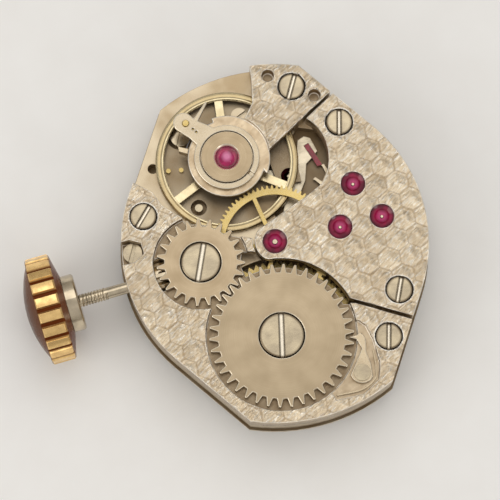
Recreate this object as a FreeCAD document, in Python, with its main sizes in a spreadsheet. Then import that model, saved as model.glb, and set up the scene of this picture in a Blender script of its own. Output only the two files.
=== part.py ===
# Hand-wound mechanical watch movement of 6 3/4 x 8 lignes, in millimetres.
# The origin is the centre wheel's axis on the dial seat. +Z points to the bridges,
# -X to the winding crown and +Y to twelve o'clock.
import FreeCAD, Part
import math
import os

import Sketcher
from FreeCAD import Placement, Rotation, Vector

DIMENSIONS = {
    # outline of the plate and bridges
    "side_radius": 7.62,
    "end_radius": 9.02,
    "flat_angle": 34,
    "flange_lip": 0.13,
    "flange_top": 0.35,
    # levels of the plate and bridges above the dial seat
    "plate_top": 1.5,
    "bridge_top": 2.9,
    "train_floor": 0.85,
    "train_ceiling": 2.38,
    "barrel_floor": 0.48,
    "barrel_ceiling": 1.87,
    "recess_floor": 2.48,
    "running_gap": 0.02,
    "wheel_gap": 0.08,
    "seam_gap": 0.1,
    # axes
    "balance_x": -1.13,
    "balance_y": 4.73,
    "pallet_x": 1.68,
    "pallet_y": 3.25,
    "escape_x": 4.52,
    "escape_y": 1.72,
    "third_x": 3.30,
    "third_y": -0.19,
    "fourth_x": 5.44,
    "fourth_y": -0.24,
    "barrel_x": -0.98,
    "barrel_y": -4.60,
    "crown_wheel_x": -3.81,
    "stem_level": 1.5,
    # tooth counts
    "barrel_teeth": 70,
    "centre_leaves": 14,
    "centre_teeth": 75,
    "third_leaves": 10,
    "third_teeth": 64,
    "fourth_leaves": 8,
    "fourth_teeth": 70,
    "escape_leaves": 7,
    "escape_teeth": 15,
    "ratchet_teeth": 38,
    "crown_wheel_teeth": 23,
    "winding_teeth": 12,
    "cannon_leaves": 10,
    "minute_teeth": 30,
    "minute_leaves": 8,
    "hour_teeth": 32,
    "setting_teeth": 15,
    # wheels of the going train
    "wheel_thick": 0.1,
    "rim_width": 0.3,
    "barrel_teeth_low": 0.82,
    "barrel_teeth_thick": 0.26,
    "centre_wheel_low": 1.95,
    "third_wheel_low": 1.4,
    "fourth_wheel_low": 2.16,
    "escape_wheel_low": 1.02,
    "escape_tip": 2.04,
    "centre_pinion_low": 0.8,
    "centre_pinion_tall": 0.5,
    "third_pinion_low": 1.52,
    "third_pinion_tall": 0.58,
    "fourth_pinion_low": 1.25,
    "fourth_pinion_tall": 0.35,
    "escape_pinion_low": 2.0,
    "escape_pinion_tall": 0.32,
    "pivot_radius": 0.07,
    "arbor_radius": 0.1,
    "centre_arbor_radius": 0.2,
    # jewels
    "jewel_radius": 0.6,
    "jewel_thick": 0.3,
    "jewel_sink": 0.06,
    "lower_jewel_radius": 0.4,
    "lower_jewel_thick": 0.28,
    "cap_jewel_radius": 0.55,
    # barrel
    "drum_radius": 3.45,
    "drum_low": 0.55,
    "drum_top": 1.75,
    "drum_wall": 0.2,
    "barrel_core_radius": 0.9,
    "barrel_arbor_radius": 0.42,
    "barrel_pivot_radius": 0.35,
    "mainspring_thick": 0.09,
    # ratchet, crown wheel and click
    "ratchet_low": 2.5,
    "ratchet_screw_radius": 1.1,
    "crown_screw_radius": 0.98,
    "crown_core_radius": 0.6,
    "big_head_sink": 0.22,
    "big_slot_width": 0.22,
    "click_low": 2.66,
    "click_pivot_x": 2.3,
    "click_pivot_y": -7.45,
    "click_pivot_radius": 0.26,
    "click_beak_angle": -17.5,
    # stem and crown
    "stem_radius": 0.29,
    "stem_groove_radius": 0.17,
    "stem_square": 0.36,
    "winding_pinion_radius": 1.12,
    "winding_pinion_reach": 5.55,
    "winding_pinion_length": 0.6,
    "clutch_radius": 0.78,
    "clutch_length": 1.05,
    "clutch_gap": 0.25,
    "clutch_groove_radius": 0.5,
    "crown_radius": 2.7,
    "crown_back": 11.0,
    "crown_cone": 0.27,
    "crown_band": 1.2,
    "crown_dome": 0.6,
    "crown_flutes": 22,
    "crown_boss_radius": 1.43,
    "crown_boss_back": 10.1,
    # balance
    "rim_radius": 3.58,
    "rim_thick": 0.38,
    "rim_low": 1.55,
    "rim_tall": 0.3,
    "arm_width": 0.42,
    "arm_low": 1.58,
    "arm_thick": 0.14,
    "arm_angle": 82,
    "staff_seat_radius": 0.3,
    "roller_radius": 0.78,
    "impulse_radius": 0.6,
    "impulse_pin_radius": 0.07,
    "cock_underside": 2.45,
    "cock_sunk_top": 2.7,
    "cock_disc_radius": 1.95,
    "regulator_radius": 1.63,
    "regulator_bore": 1.33,
    "regulator_top": 2.98,
    "cap_setting_radius": 1.29,
    "hairspring_low": 2.13,
    "hairspring_tall": 0.15,
    "hairspring_thick": 0.045,
    "hairspring_inner": 0.42,
    "hairspring_halves": 14,
    "hairspring_outer": 2.1,
    "stud_angle": 150,
    # pallets
    "fork_low": 1.0,
    "fork_thick": 0.16,
    "stone_width": 0.24,
    "stone_length": 1.3,
    "pallet_bridge_low": 1.25,
    "pallet_bridge_top": 1.46,
    # keyless work and motion work under the plate
    "hour_wheel_low": 0.05,
    "hour_wheel_thick": 0.13,
    "hour_recess_top": 0.22,
    "minute_wheel_low": 0.24,
    "minute_wheel_thick": 0.16,
    "minute_recess_top": 0.45,
    "setting_recess_top": 0.92,
    "keyless_recess_top": 0.84,
    "minute_x": -1.323,
    "minute_y": 1.5,
    "setting_x": -3.0,
    "post_radius": 0.15,
    "lever_low": 0.62,
    "lever_thick": 0.18,
    "lever_pivot_offset": 1.37,
    "lever_pivot_y": 1.47,
    "yoke_pivot_offset": 1.15,
    "yoke_pivot_y": 1.9,
    "cover_low": 0.4,
    "cover_thick": 0.18,
    "cannon_radius": 0.28,
    "cannon_reach": 1.1,
    "hour_pipe_radius": 0.45,
    "hour_pipe_reach": 0.75,
    # screws
    "head_radius": 0.65,
    "head_thick": 0.36,
    "head_sink": 0.3,
    "shank_radius": 0.3,
    "shank_end": 0.92,
    "slot_width": 0.19,
    "slot_share": 0.6,
}


# Sizes that remember their formula

class Size:
    def __init__(self, value, formula):
        self.value = float(value)
        self.formula = formula

    def __add__(self, other):
        return joined(self, "+", other, self.value + number(other))

    def __radd__(self, other):
        return joined(other, "+", self, number(other) + self.value)

    def __sub__(self, other):
        return joined(self, "-", other, self.value - number(other))

    def __rsub__(self, other):
        return joined(other, "-", self, number(other) - self.value)

    def __mul__(self, other):
        return joined(self, "*", other, self.value * number(other))

    def __rmul__(self, other):
        return joined(other, "*", self, number(other) * self.value)

    def __truediv__(self, other):
        return joined(self, "/", other, self.value / number(other))

    def __neg__(self):
        return joined(0, "-", self, -self.value)


def number(size):
    return size.value if isinstance(size, Size) else float(size)


def formula(size):
    return size.formula if isinstance(size, Size) else f"{float(size):.6g}"


def joined(first, sign, second, value):
    return Size(value, f"({formula(first)} {sign} {formula(second)})")


def sine(angle):
    return Size(math.sin(math.radians(number(angle))), f"sin({formula(angle)})")


def cosine(angle):
    return Size(math.cos(math.radians(number(angle))), f"cos({formula(angle)})")


def square_root(size):
    return Size(math.sqrt(number(size)), f"sqrt({formula(size)})")


def bearing(start, end):
    # direction from one point to another, in degrees
    across, along = end[1] - start[1], end[0] - start[0]
    value = math.degrees(math.atan2(number(across), number(along)))
    return Size(value, f"(atan2({formula(across)}; {formula(along)}) / 1deg)")


def distance(start, end):
    across, along = end[1] - start[1], end[0] - start[0]
    return square_root(along * along + across * across)


def polar(centre, radius, angle):
    return centre[0] + radius * cosine(angle), centre[1] + radius * sine(angle)


doc = FreeCAD.newDocument("WatchMovement")
sheet = doc.addObject("Spreadsheet::Sheet", "Sizes")
rows = []


class Table:
    pass


d = Table()


def enter(name, text, value):
    row = len(rows) + 1
    rows.append(name)
    sheet.set(f"A{row}", name)
    sheet.set(f"B{row}", text)
    sheet.setAlias(f"B{row}", name)
    size = Size(value, f"Sizes.{name}")
    setattr(d, name, size)
    return size


def derive(name, size):
    # a size worked out from the driving ones gets a cell with its formula
    return enter(name, "=" + size.formula.replace("Sizes.", ""), size.value)


for key, amount in DIMENSIONS.items():
    enter(key, str(amount), amount)

centre = (Size(0, "0"), Size(0, "0"))
balance = (d.balance_x, d.balance_y)
pallet = (d.pallet_x, d.pallet_y)
escape = (d.escape_x, d.escape_y)
third = (d.third_x, d.third_y)
fourth = (d.fourth_x, d.fourth_y)
barrel = (d.barrel_x, d.barrel_y)
crown_wheel = (d.crown_wheel_x, centre[1])
minute = (d.minute_x, d.minute_y)
setting = (d.setting_x, centre[1])
# the setting lever and the yoke stand where the winding pinion puts them
lever_pivot_x = derive("lever_pivot_x", -d.winding_pinion_reach - d.lever_pivot_offset)
yoke_pivot_x = derive("yoke_pivot_x", -d.winding_pinion_reach + d.yoke_pivot_offset)
lever_pivot = (lever_pivot_x, d.lever_pivot_y)
yoke_pivot = (yoke_pivot_x, d.yoke_pivot_y)
click_pivot = (d.click_pivot_x, d.click_pivot_y)

RIGHT = -1
nodes = []


# Sketches, pads and pockets

def new_body(label, at=None, turn=None):
    body = doc.addObject("PartDesign::Body", label)
    body.Label = label
    place(body, at, turn)
    return body


def place(piece, at, turn=None):
    if turn is not None:
        piece.Placement = Placement(Vector(), Rotation(Vector(0, 0, 1), number(turn)))
        piece.setExpression("Placement.Rotation.Angle", formula(turn))
    for axis, size in zip("xyz", at or ()):
        piece.setExpression(f"Placement.Base.{axis}", formula(size))


def new_sketch(body, lift=0, role="XY_Plane"):
    sketch = body.newObject("Sketcher::SketchObject", body.Label + "_sketch")
    plane = next(part for part in body.Origin.OriginFeatures if part.Role == role)
    sketch.AttachmentSupport = [(plane, "")]
    sketch.MapMode = "FlatFace"
    sketch.setExpression("AttachmentOffset.Base.z", formula(lift))
    return sketch


def fix(sketch, kind, where, size):
    index = sketch.addConstraint(Sketcher.Constraint(kind, *where, number(size)))
    sketch.setExpression(f"Constraints[{index}]", formula(size))


def pin(sketch, edge, spot, point):
    fix(sketch, "DistanceX", (-1, 1, edge, spot), point[0])
    fix(sketch, "DistanceY", (-1, 1, edge, spot), point[1])


def arc_between(start, end, radius, turn):
    # the shorter arc from start to end, turning left or right
    chord = end - start
    rise = math.sqrt(max(radius**2 - (chord.Length / 2) ** 2, 0))
    left = Vector(-chord.y, chord.x, 0).normalize()
    middle = (start + end) * 0.5 + left * (rise * turn)
    first, last = (start, end) if turn > 0 else (end, start)
    angles = [math.atan2(p.y - middle.y, p.x - middle.x) for p in (first, last)]
    return Part.ArcOfCircle(Part.Circle(middle, Vector(0, 0, 1), radius), *angles)


def draw_path(sketch, path):
    # a corner (x, y) ends a line; (x, y, radius) ends an arc that turns left, or right with RIGHT
    drawn = []
    for here, corner in enumerate(path):
        start = Vector(number(path[here - 1][0]), number(path[here - 1][1]), 0)
        end = Vector(number(corner[0]), number(corner[1]), 0)
        turn = corner[3] if len(corner) > 3 else 1
        if len(corner) == 2:
            edge = Part.LineSegment(start, end)
        else:
            edge = arc_between(start, end, number(corner[2]), turn)
        spots = (1, 2) if turn > 0 else (2, 1)
        drawn.append((sketch.addGeometry(edge, False), *spots))
    for here, (edge, _, last) in enumerate(drawn):
        following, first, _ = drawn[(here + 1) % len(drawn)]
        joint = Sketcher.Constraint("Coincident", edge, last, following, first)
        sketch.addConstraint(joint)
        pin(sketch, edge, last, path[here])
        if len(path[here]) > 2:
            fix(sketch, "Radius", (edge,), path[here][2])


def draw_circle(sketch, x, y, radius):
    middle = Vector(number(x), number(y), 0)
    circle = Part.Circle(middle, Vector(0, 0, 1), number(radius))
    edge = sketch.addGeometry(circle, False)
    pin(sketch, edge, 3, (x, y))
    fix(sketch, "Radius", (edge,), radius)


def draw(sketch, shapes):
    # a shape is a path of corners, or a circle (x, y, radius)
    for shape in shapes:
        if isinstance(shape, list):
            draw_path(sketch, shape)
        else:
            draw_circle(sketch, *shape)


def pad(body, low, high, *shapes):
    sketch = new_sketch(body, low)
    draw(sketch, shapes)
    feature = body.newObject("PartDesign::Pad", body.Label + "_pad")
    feature.Profile = sketch
    feature.setExpression("Length", formula(high - low))
    sketch.Visibility = False
    return feature


def pocket(body, low, high, *shapes):
    # cuts down from the high level to the low one
    sketch = new_sketch(body, high)
    draw(sketch, shapes)
    feature = body.newObject("PartDesign::Pocket", body.Label + "_pocket")
    feature.Profile = sketch
    feature.setExpression("Length", formula(high - low))
    sketch.Visibility = False
    return feature


def bore_along_x(body, x_end, length, level, radius):
    # cuts from x_end towards -X, at a level on the stem's axis
    sketch = new_sketch(body, x_end, "YZ_Plane")
    draw(sketch, [(0, level, radius)])
    feature = body.newObject("PartDesign::Pocket", body.Label + "_bore")
    feature.Profile = sketch
    feature.setExpression("Length", formula(length))
    return feature


def revolve(body, profile):
    sketch = new_sketch(body, 0, "XZ_Plane")
    draw_path(sketch, profile)
    feature = body.newObject("PartDesign::Revolution", body.Label + "_turned")
    feature.Profile = sketch
    feature.ReferenceAxis = (sketch, ["V_Axis"])
    feature.Angle = 360
    return feature


def turned(label, profile, at, turn=None):
    # profile corners are (radius, height), about the piece's own vertical axis
    body = new_body(label, at, turn)
    revolve(body, profile)
    return body


def laid_along_stem(body):
    # the piece's own height runs along the stem, outwards to the crown
    body.Placement = Placement(Vector(), Rotation(Vector(0, 1, 0), -90))
    body.setExpression("Placement.Base.z", formula(d.stem_level))
    return body


def rectangle(x, y, length, width):
    return [
        (x - length / 2, y - width / 2),
        (x + length / 2, y - width / 2),
        (x + length / 2, y + width / 2),
        (x - length / 2, y + width / 2),
    ]


def stepped(steps):
    # profile of a turned shaft from (radius, top level) steps that start at the first level
    bottom, *rest = steps
    corners = [(0, bottom)]
    level = bottom
    for radius, top in rest:
        corners += [(radius, level), (radius, top)]
        level = top
    return corners + [(0, level)]


def ring(bore, radius, low, high):
    return [(bore, low), (radius, low), (radius, high), (bore, high)]


def combined(kind, label, pieces):
    result = doc.addObject(kind, label)
    result.Label = label
    if kind == "Part::Compound":
        result.Links = pieces
    elif kind == "Part::Cut":
        result.Base, result.Tool = pieces
    else:
        result.Shapes = pieces
    return result


def node(piece, label=None):
    piece.Label = label or piece.Label
    nodes.append(piece)
    return piece


# Toothed wheels

def spun(radius, angle):
    return Vector(radius * math.cos(angle), radius * math.sin(angle), 0)


def toothed_wire(teeth, tip, root, phase, tip_share=0.0, root_share=1.0):
    # a tip share of 0 makes pointed teeth and a root share of 1 makes pointed gaps
    pitch = 2 * math.pi / teeth
    tip_sides = (-0.5, 0.5) if tip_share else (0.5,)
    points = []
    for tooth in range(teeth):
        middle = math.radians(phase) + tooth * pitch
        if root_share < 1:
            points.append(spun(root, middle - root_share / 2 * pitch))
        points += [spun(tip, middle + side * tip_share * pitch) for side in tip_sides]
        points.append(spun(root, middle + root_share / 2 * pitch))
    return Part.makePolygon(points + points[:1])


def circle_wire(radius):
    return Part.Wire(Part.Circle(Vector(), Vector(0, 0, 1), radius).toShape())


def arc_edge(radius, start, end):
    middle = (start + end) / 2
    return Part.Arc(spun(radius, start), spun(radius, middle), spun(radius, end)).toShape()


def crossing_wires(arms, hub, rim, width, phase=0.0):
    # the windows between straight arms
    wires = []
    for arm in range(arms):
        start = math.radians(phase) + arm * 2 * math.pi / arms
        end = start + 2 * math.pi / arms
        at_hub = math.asin(width / 2 / hub)
        at_rim = math.asin(width / 2 / rim)
        outer = arc_edge(rim, start + at_rim, end - at_rim)
        inner = arc_edge(hub, start + at_hub, end - at_hub)
        sides = [
            Part.LineSegment(spun(hub, start + at_hub), spun(rim, start + at_rim)).toShape(),
            Part.LineSegment(spun(rim, end - at_rim), spun(hub, end - at_hub)).toShape(),
        ]
        wires.append(Part.Wire([sides[0], outer, sides[1], inner]))
    return wires


def flat_piece(label, wires, thick, at):
    # a plate cut through to the given wires, on its own axis
    face = Part.makeFace(wires, "Part::FaceMakerBullseye")
    feature = doc.addObject("Part::Feature", label)
    feature.Label = label
    feature.Shape = face.extrude(Vector(0, 0, number(thick)))
    place(feature, at)
    return feature


def mesh_phase(teeth, phase, next_teeth, direction):
    # where the next wheel's tooth stands, so that tooth meets gap on the line of centres
    pitch, next_pitch = 360 / teeth, 360 / next_teeth
    into_cycle = (direction - phase) / pitch
    return direction + 180 - next_pitch * (0.5 - into_cycle)


def gear_radii(prefix, centre_distance, big, small):
    # pitch radii and module of a pair, from their distance
    module = derive(prefix + "_module", 2 * centre_distance / (big + small))
    return derive(prefix + "_big", module * big / 2), derive(prefix + "_small", module * small / 2), module


barrel_pitch, centre_pinion_pitch, barrel_module = gear_radii(
    "barrel_mesh", distance(centre, barrel), d.barrel_teeth, d.centre_leaves)
centre_pitch, third_pinion_pitch, centre_module = gear_radii(
    "centre_mesh", distance(centre, third), d.centre_teeth, d.third_leaves)
third_pitch, fourth_pinion_pitch, third_module = gear_radii(
    "third_mesh", distance(third, fourth), d.third_teeth, d.fourth_leaves)
fourth_pitch, escape_pinion_pitch, fourth_module = gear_radii(
    "fourth_mesh", distance(fourth, escape), d.fourth_teeth, d.escape_leaves)
ratchet_pitch, crown_wheel_pitch, ratchet_module = gear_radii(
    "ratchet_mesh", distance(crown_wheel, barrel), d.ratchet_teeth, d.crown_wheel_teeth)
minute_pitch, cannon_pitch, minute_module = gear_radii(
    "minute_mesh", distance(centre, minute), d.minute_teeth, d.cannon_leaves)
hour_pitch, minute_pinion_pitch, hour_module = gear_radii(
    "hour_mesh", distance(centre, minute), d.hour_teeth, d.minute_leaves)
ADDENDUM = 0.9
DEDENDUM = 1.25
barrel_tip = derive("barrel_tip", barrel_pitch + ADDENDUM * barrel_module)
centre_tip = derive("centre_tip", centre_pitch + ADDENDUM * centre_module)
third_tip = derive("third_tip", third_pitch + ADDENDUM * third_module)
fourth_tip = derive("fourth_tip", fourth_pitch + ADDENDUM * fourth_module)
ratchet_tip = derive("ratchet_tip", ratchet_pitch + 1.15 * ratchet_module)
crown_wheel_tip = derive("crown_wheel_tip", crown_wheel_pitch + ADDENDUM * ratchet_module)
minute_tip = derive("minute_tip", minute_pitch + ADDENDUM * minute_module)
hour_tip = derive("hour_tip", hour_pitch + ADDENDUM * hour_module)
setting_pitch = derive("setting_pitch", minute_module * d.setting_teeth / 2)
setting_tip = derive("setting_tip", setting_pitch + ADDENDUM * minute_module)

# wells that clear the wheels
barrel_well = derive("barrel_well", barrel_tip + d.wheel_gap)
third_well = derive("third_well", third_tip + d.wheel_gap)
escape_well = derive("escape_well", d.escape_tip + d.wheel_gap)
fourth_well = derive("fourth_well", fourth_tip + d.wheel_gap)
centre_well = derive("centre_well", centre_tip + 2 * d.wheel_gap)
rim_well = derive("rim_well", d.rim_radius + 1.75 * d.wheel_gap)
balance_well = derive("balance_well", d.rim_radius - 0.13)
centre_pinion_tip = derive("centre_pinion_tip", centre_pinion_pitch + ADDENDUM * barrel_module)
third_pinion_tip = derive("third_pinion_tip", third_pinion_pitch + ADDENDUM * centre_module)
escape_pinion_tip = derive("escape_pinion_tip", escape_pinion_pitch + ADDENDUM * fourth_module)
head_well = derive("head_well", d.head_radius + 0.03)
shank_hole = derive("shank_hole", d.shank_radius + d.running_gap / 2)
# rooms of the winding pinion and the clutch, measured along the stem from the centre
clutch_outer = derive("clutch_outer", d.winding_pinion_reach - d.clutch_gap)
clutch_inner = derive("clutch_inner", clutch_outer - d.clutch_length)
pinion_outer = derive("pinion_outer", d.winding_pinion_reach + d.winding_pinion_length)
pinion_room_end = derive("pinion_room_end", -pinion_outer - 0.19)
clutch_room_end = derive("clutch_room_end", -clutch_inner + 0.67)
stem_tip = derive("stem_tip", clutch_inner - 1.03)
pinion_half = derive("pinion_half", d.winding_pinion_radius + 0.04)
clutch_half = derive("clutch_half", d.clutch_radius + 0.2)
fork_angle = derive("fork_angle", bearing(pallet, escape))
fork_to_escape = derive("fork_to_escape", distance(pallet, escape))
fork_to_balance = derive("fork_to_balance", distance(pallet, balance))


# Outline of the case fit

def flat_point(grow, along, side, end):
    # a point on the straight flat, measured from where it leaves the side arc
    radius = d.side_radius + grow
    x = radius * cosine(d.flat_angle) - along * sine(d.flat_angle)
    y = radius * sine(d.flat_angle) + along * cosine(d.flat_angle)
    return (x if side > 0 else -x), (y if end > 0 else -y)


def case_corner(prefix, grow):
    side, end = d.side_radius + grow, d.end_radius + grow
    reach = derive(prefix + "_reach", square_root(end * end - side * side))
    x, y = flat_point(grow, reach, 1, 1)
    return derive(prefix + "_corner_x", x), derive(prefix + "_corner_y", y)


corner_x, corner_y = case_corner("case", 0)
lip_corner_x, lip_corner_y = case_corner("lip", d.flange_lip)


def case_path(grow, x, y):
    side, end = d.side_radius + grow, d.end_radius + grow
    return [
        flat_point(grow, 0, 1, -1),
        (*flat_point(grow, 0, 1, 1), side),
        (x, y),
        (-x, y, end),
        flat_point(grow, 0, -1, 1),
        (*flat_point(grow, 0, -1, -1), side),
        (-x, -y),
        (x, -y, end),
    ]


def from_edge(inset, angle):
    # a spot at a distance inside the round end of the case fit
    return polar(centre, d.end_radius - inset, angle)


def beside_pinion(path):
    # the keyless work is laid out from the inner face of the winding pinion
    return [(x - d.winding_pinion_reach, *rest) for x, *rest in path]


screw_spots = {
    "barrel_bridge": [(-5.92, 2.98), from_edge(1.7, -56.3)],
    "train_bridge": [(4.74, 4.91), (5.22, -4.01)],
    "balance_cock": [from_edge(1.13, 67.9)],
}
bridge_screws = sum(screw_spots.values(), [])
pallet_screw = (1.55, 5.8)
keyless_screws = beside_pinion([(0.6, 2.62), (1.87, 1.3)])
dial_feet = [(5.75, 4.0), (-5.35, -3.7)]


# Main plate

def fork_point(x, y):
    # a point of the pallet fork's own frame, which looks along to the escape wheel
    turn_x = x * cosine(fork_angle) - y * sine(fork_angle)
    turn_y = x * sine(fork_angle) + y * cosine(fork_angle)
    return pallet[0] + turn_x, pallet[1] + turn_y


def fork_room():
    corners = [(-2.9, -0.5), (-0.4, -0.55), (-0.3, -2.1), (0.2, -2.55), (1.05, -2.35), (1.6, -1.75),
               (2.0, 0), (1.7, 1.75), (1.0, 2.6), (-0.2, 2.5), (-0.4, 0.55), (-2.9, 0.5)]
    return [fork_point(*corner) for corner in corners]


def main_plate():
    plate = new_body("main_plate")
    top = d.plate_top
    pad(plate, 0, d.flange_top, case_path(d.flange_lip, lip_corner_x, lip_corner_y))
    pad(plate, d.flange_top, top, case_path(0, corner_x, corner_y))
    # wells for the barrel, the train and the balance, open to the bridges
    pocket(plate, d.barrel_floor, top, (*barrel, barrel_well))
    pocket(plate, d.centre_pinion_low - 0.02, top, (*centre, centre_pinion_tip + d.wheel_gap))
    pocket(plate, d.train_floor, top, (*third, third_well))
    pocket(plate, d.train_floor, top, (*escape, escape_well))
    pocket(plate, d.train_floor, top, (*fourth, d.lower_jewel_radius + 0.05))
    pocket(plate, d.train_floor, top, fork_room())
    pocket(plate, 1.15, top, (*balance, balance_well))
    pocket(plate, 0.6, top, (*balance, d.roller_radius + 0.22))
    # bearing holes through the floors
    lower = [(*axis, d.lower_jewel_radius) for axis in (third, fourth, escape, pallet)]
    lower.append((*centre, d.jewel_radius))
    pocket(plate, 0, d.train_floor, *lower)
    pocket(plate, 0, 0.6, (*balance, 0.45))
    pocket(plate, 0, d.barrel_floor, (*barrel, d.barrel_pivot_radius + d.running_gap))
    # recesses for the motion work and the keyless work, open to the dial
    pocket(plate, 0, d.hour_recess_top, (*centre, hour_tip + d.wheel_gap))
    pocket(plate, 0, d.minute_recess_top, (*minute, minute_tip + d.wheel_gap))
    pocket(plate, 0, 0.46, (*centre, cannon_pitch + 1.6 * minute_module))
    pocket(plate, 0, d.setting_recess_top, (*setting, setting_tip + 0.06))
    pocket(plate, 0, 0.13, (*balance, 0.92))
    pocket(plate, 0, d.keyless_recess_top, keyless_room())
    # cavity for the winding pinion and the clutch, cut right through
    pocket(plate, 0, top, pinion_room(pinion_half, -clutch_outer))
    pocket(plate, 0, top, pinion_room(clutch_half, clutch_room_end))
    # stem tunnel, the slot for the setting lever's pin and the stem's pilot hole
    bore_along_x(plate, pinion_room_end + 0.04, 1.7, d.stem_level, d.stem_radius + d.running_gap)
    bore_along_x(plate, -stem_tip + 0.12, 0.6, d.stem_level, 0.15)
    pocket(plate, 0.8, top, pin_slot())
    # posts of the minute and setting wheels
    pad(plate, 0.06, d.minute_recess_top, (*minute, d.post_radius))
    pad(plate, 0.2, d.setting_recess_top, (*setting, d.post_radius))
    # screw holes, dial feet, poising holes and the opening by the regulator
    holes = [(x, y, shank_hole) for x, y in bridge_screws]
    pocket(plate, d.shank_end - 0.02, top, *holes)
    pocket(plate, 0.7, 1.15, (*pallet_screw, 0.17))
    pocket(plate, d.keyless_recess_top, 1.02, *[(x, y, 0.15) for x, y in keyless_screws])
    pocket(plate, 0, top, *[(x, y, 0.35) for x, y in dial_feet])
    pocket(plate, 0, top, (*lever_pivot, 0.22))
    pocket(plate, 0.5, top, (-3.1, 2.98, 0.4), (-4.8, 5.46, 0.25))
    pocket(plate, 0.45, top, (-3.0, 6.8, 0.72))
    return node(plate)


def pinion_room(half, inner):
    # a room along the stem, from beyond the winding pinion to an inner end
    return [(pinion_room_end, -half), (inner, -half), (inner, half), (pinion_room_end, half)]


def pin_slot():
    # where the setting lever's pin swings with the stem
    return beside_pinion([(-1.87, 0.08), (-0.87, 0.08), (-0.87, 0.42), (-1.87, 0.42)])


def keyless_room():
    return beside_pinion([
        (-1.77, -0.02), (-1.77, 1.6), (-1.45, 2.0), (-0.65, 2.6), (0.35, 3.1), (1.8, 2.9),
        (2.3, 2.2), (2.3, 1.05), (1.65, 0.55), (-0.55, -0.02),
    ])


# Bridges

def screw_wells(bridge, spots, floor):
    top = d.bridge_top
    pocket(bridge, floor, top, *[(x, y, shank_hole) for x, y in spots])
    pocket(bridge, top - d.head_sink, top, *[(x, y, head_well) for x, y in spots])


def barrel_bridge():
    bridge = new_body("barrel_bridge")
    low, top = d.plate_top, d.bridge_top
    lobe = 1.0 + d.seam_gap
    path = [
        flat_point(0, 0.65, -1, 1),
        flat_point(0, 0, -1, 1),
        (*flat_point(0, 0, -1, -1), d.side_radius),
        (-corner_x, -corner_y),
        (corner_x, -corner_y, d.end_radius),
        flat_point(0, 1.62, 1, -1),
        (2.95, -4.05),
        polar(barrel, 3.45, 12),
        (*polar(barrel, 3.45, 105), 3.45),
        (-1.95, -0.6),
        (-1.7, -0.02),
        polar(centre, lobe, 194),
        (*polar(centre, lobe, 157), lobe, RIGHT),
        (-2.36, 1.14),
        (*polar(crown_wheel, 2.05, 95), 2.05),
        (-4.09, 2.4),
        (-4.87, 3.24),
        (-5.17, 4.04),
    ]
    pad(bridge, low, top, path)
    # wells for the ratchet wheel, the crown wheel and the click
    pocket(bridge, d.recess_floor, top, (*barrel, ratchet_tip + 2 * d.wheel_gap))
    pocket(bridge, d.recess_floor, top, (*crown_wheel, crown_wheel_tip + 2 * d.wheel_gap))
    pocket(bridge, d.click_low - 0.02, top, click_room())
    # underside clear of the barrel, the centre wheel and the balance rim
    pocket(bridge, low, d.barrel_ceiling, (*barrel, barrel_well))
    pocket(bridge, low, 2.15, (*centre, centre_well))
    pocket(bridge, low, d.rim_low + d.rim_tall + 0.1, (*balance, rim_well))
    # cavity over the winding pinion and the clutch
    pocket(bridge, low, 2.32, pinion_room(pinion_half, clutch_room_end + 0.03))
    pocket(bridge, low, 2.66, pinion_room(0.82, -d.winding_pinion_reach + 0.13))
    bore_along_x(bridge, pinion_room_end + 0.04, 1.7, d.stem_level, d.stem_radius + d.running_gap)
    bore_along_x(bridge, -stem_tip + 0.12, 0.6, d.stem_level, 0.15)
    # bearing of the barrel arbor, crown wheel screw and the notch of the setting lever's screw
    pocket(bridge, d.barrel_ceiling, top, (*barrel, d.barrel_pivot_radius + d.running_gap))
    pocket(bridge, 2.32, top, (*crown_wheel, shank_hole))
    pocket(bridge, low, top, (*lever_pivot, 0.22))
    notch = [(-0.98, -0.57), (0, -0.57), (0.52, -0.27), (0.52, 0.27), (0, 0.57), (-0.98, 0.57)]
    pocket(bridge, 1.95, top, [(lever_pivot_x + x, d.lever_pivot_y + y) for x, y in notch])
    pocket(bridge, 1.9, top, (*click_pivot, 0.17))
    screw_wells(bridge, screw_spots["barrel_bridge"], low)
    return node(bridge)


def click_room():
    return [(2.0, -4.9), (2.85, -4.92), (3.12, -5.25), (3.28, -6.0), (3.28, -7.2), (3.0, -7.98),
            (2.1, -8.5), (0.7, -8.42), (0.45, -7.6), (1.8, -6.8)]


def train_bridge():
    bridge = new_body("train_bridge")
    low, top = d.plate_top, d.bridge_top
    path = [
        flat_point(0, 1.62 - d.seam_gap * 1.8, 1, -1),
        flat_point(0, 0, 1, -1),
        (*flat_point(0, 0, 1, 1), d.side_radius),
        flat_point(0, 2.62, 1, 1),
        (3.2, 5.55),
        (3.82, 4.15, 2.2, RIGHT),
        (3.06, 2.17, 2.6, RIGHT),
        (2.38, 1.86),
        polar(centre, 1.0, 127),
        (*polar(centre, 1.0, 225), 1.0),
        polar(barrel, ratchet_tip + 3.3 * d.wheel_gap, 84),
        (*polar(barrel, ratchet_tip + 3.3 * d.wheel_gap, 13), ratchet_tip + 3.3 * d.wheel_gap, RIGHT),
    ]
    pad(bridge, low, top, path)
    for well in ((*centre, centre_well), (*fourth, fourth_well), (*third, third_pinion_tip + d.wheel_gap),
                 (*escape, escape_pinion_tip + d.wheel_gap), (*balance, rim_well)):
        pocket(bridge, low, d.train_ceiling, well)
    pocket(bridge, low, d.barrel_ceiling, (*barrel, barrel_well))
    jewels = [(*axis, d.jewel_radius) for axis in (centre, third, fourth, escape)]
    pocket(bridge, low, top, *jewels)
    screw_wells(bridge, screw_spots["train_bridge"], low)
    return node(bridge)


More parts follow.
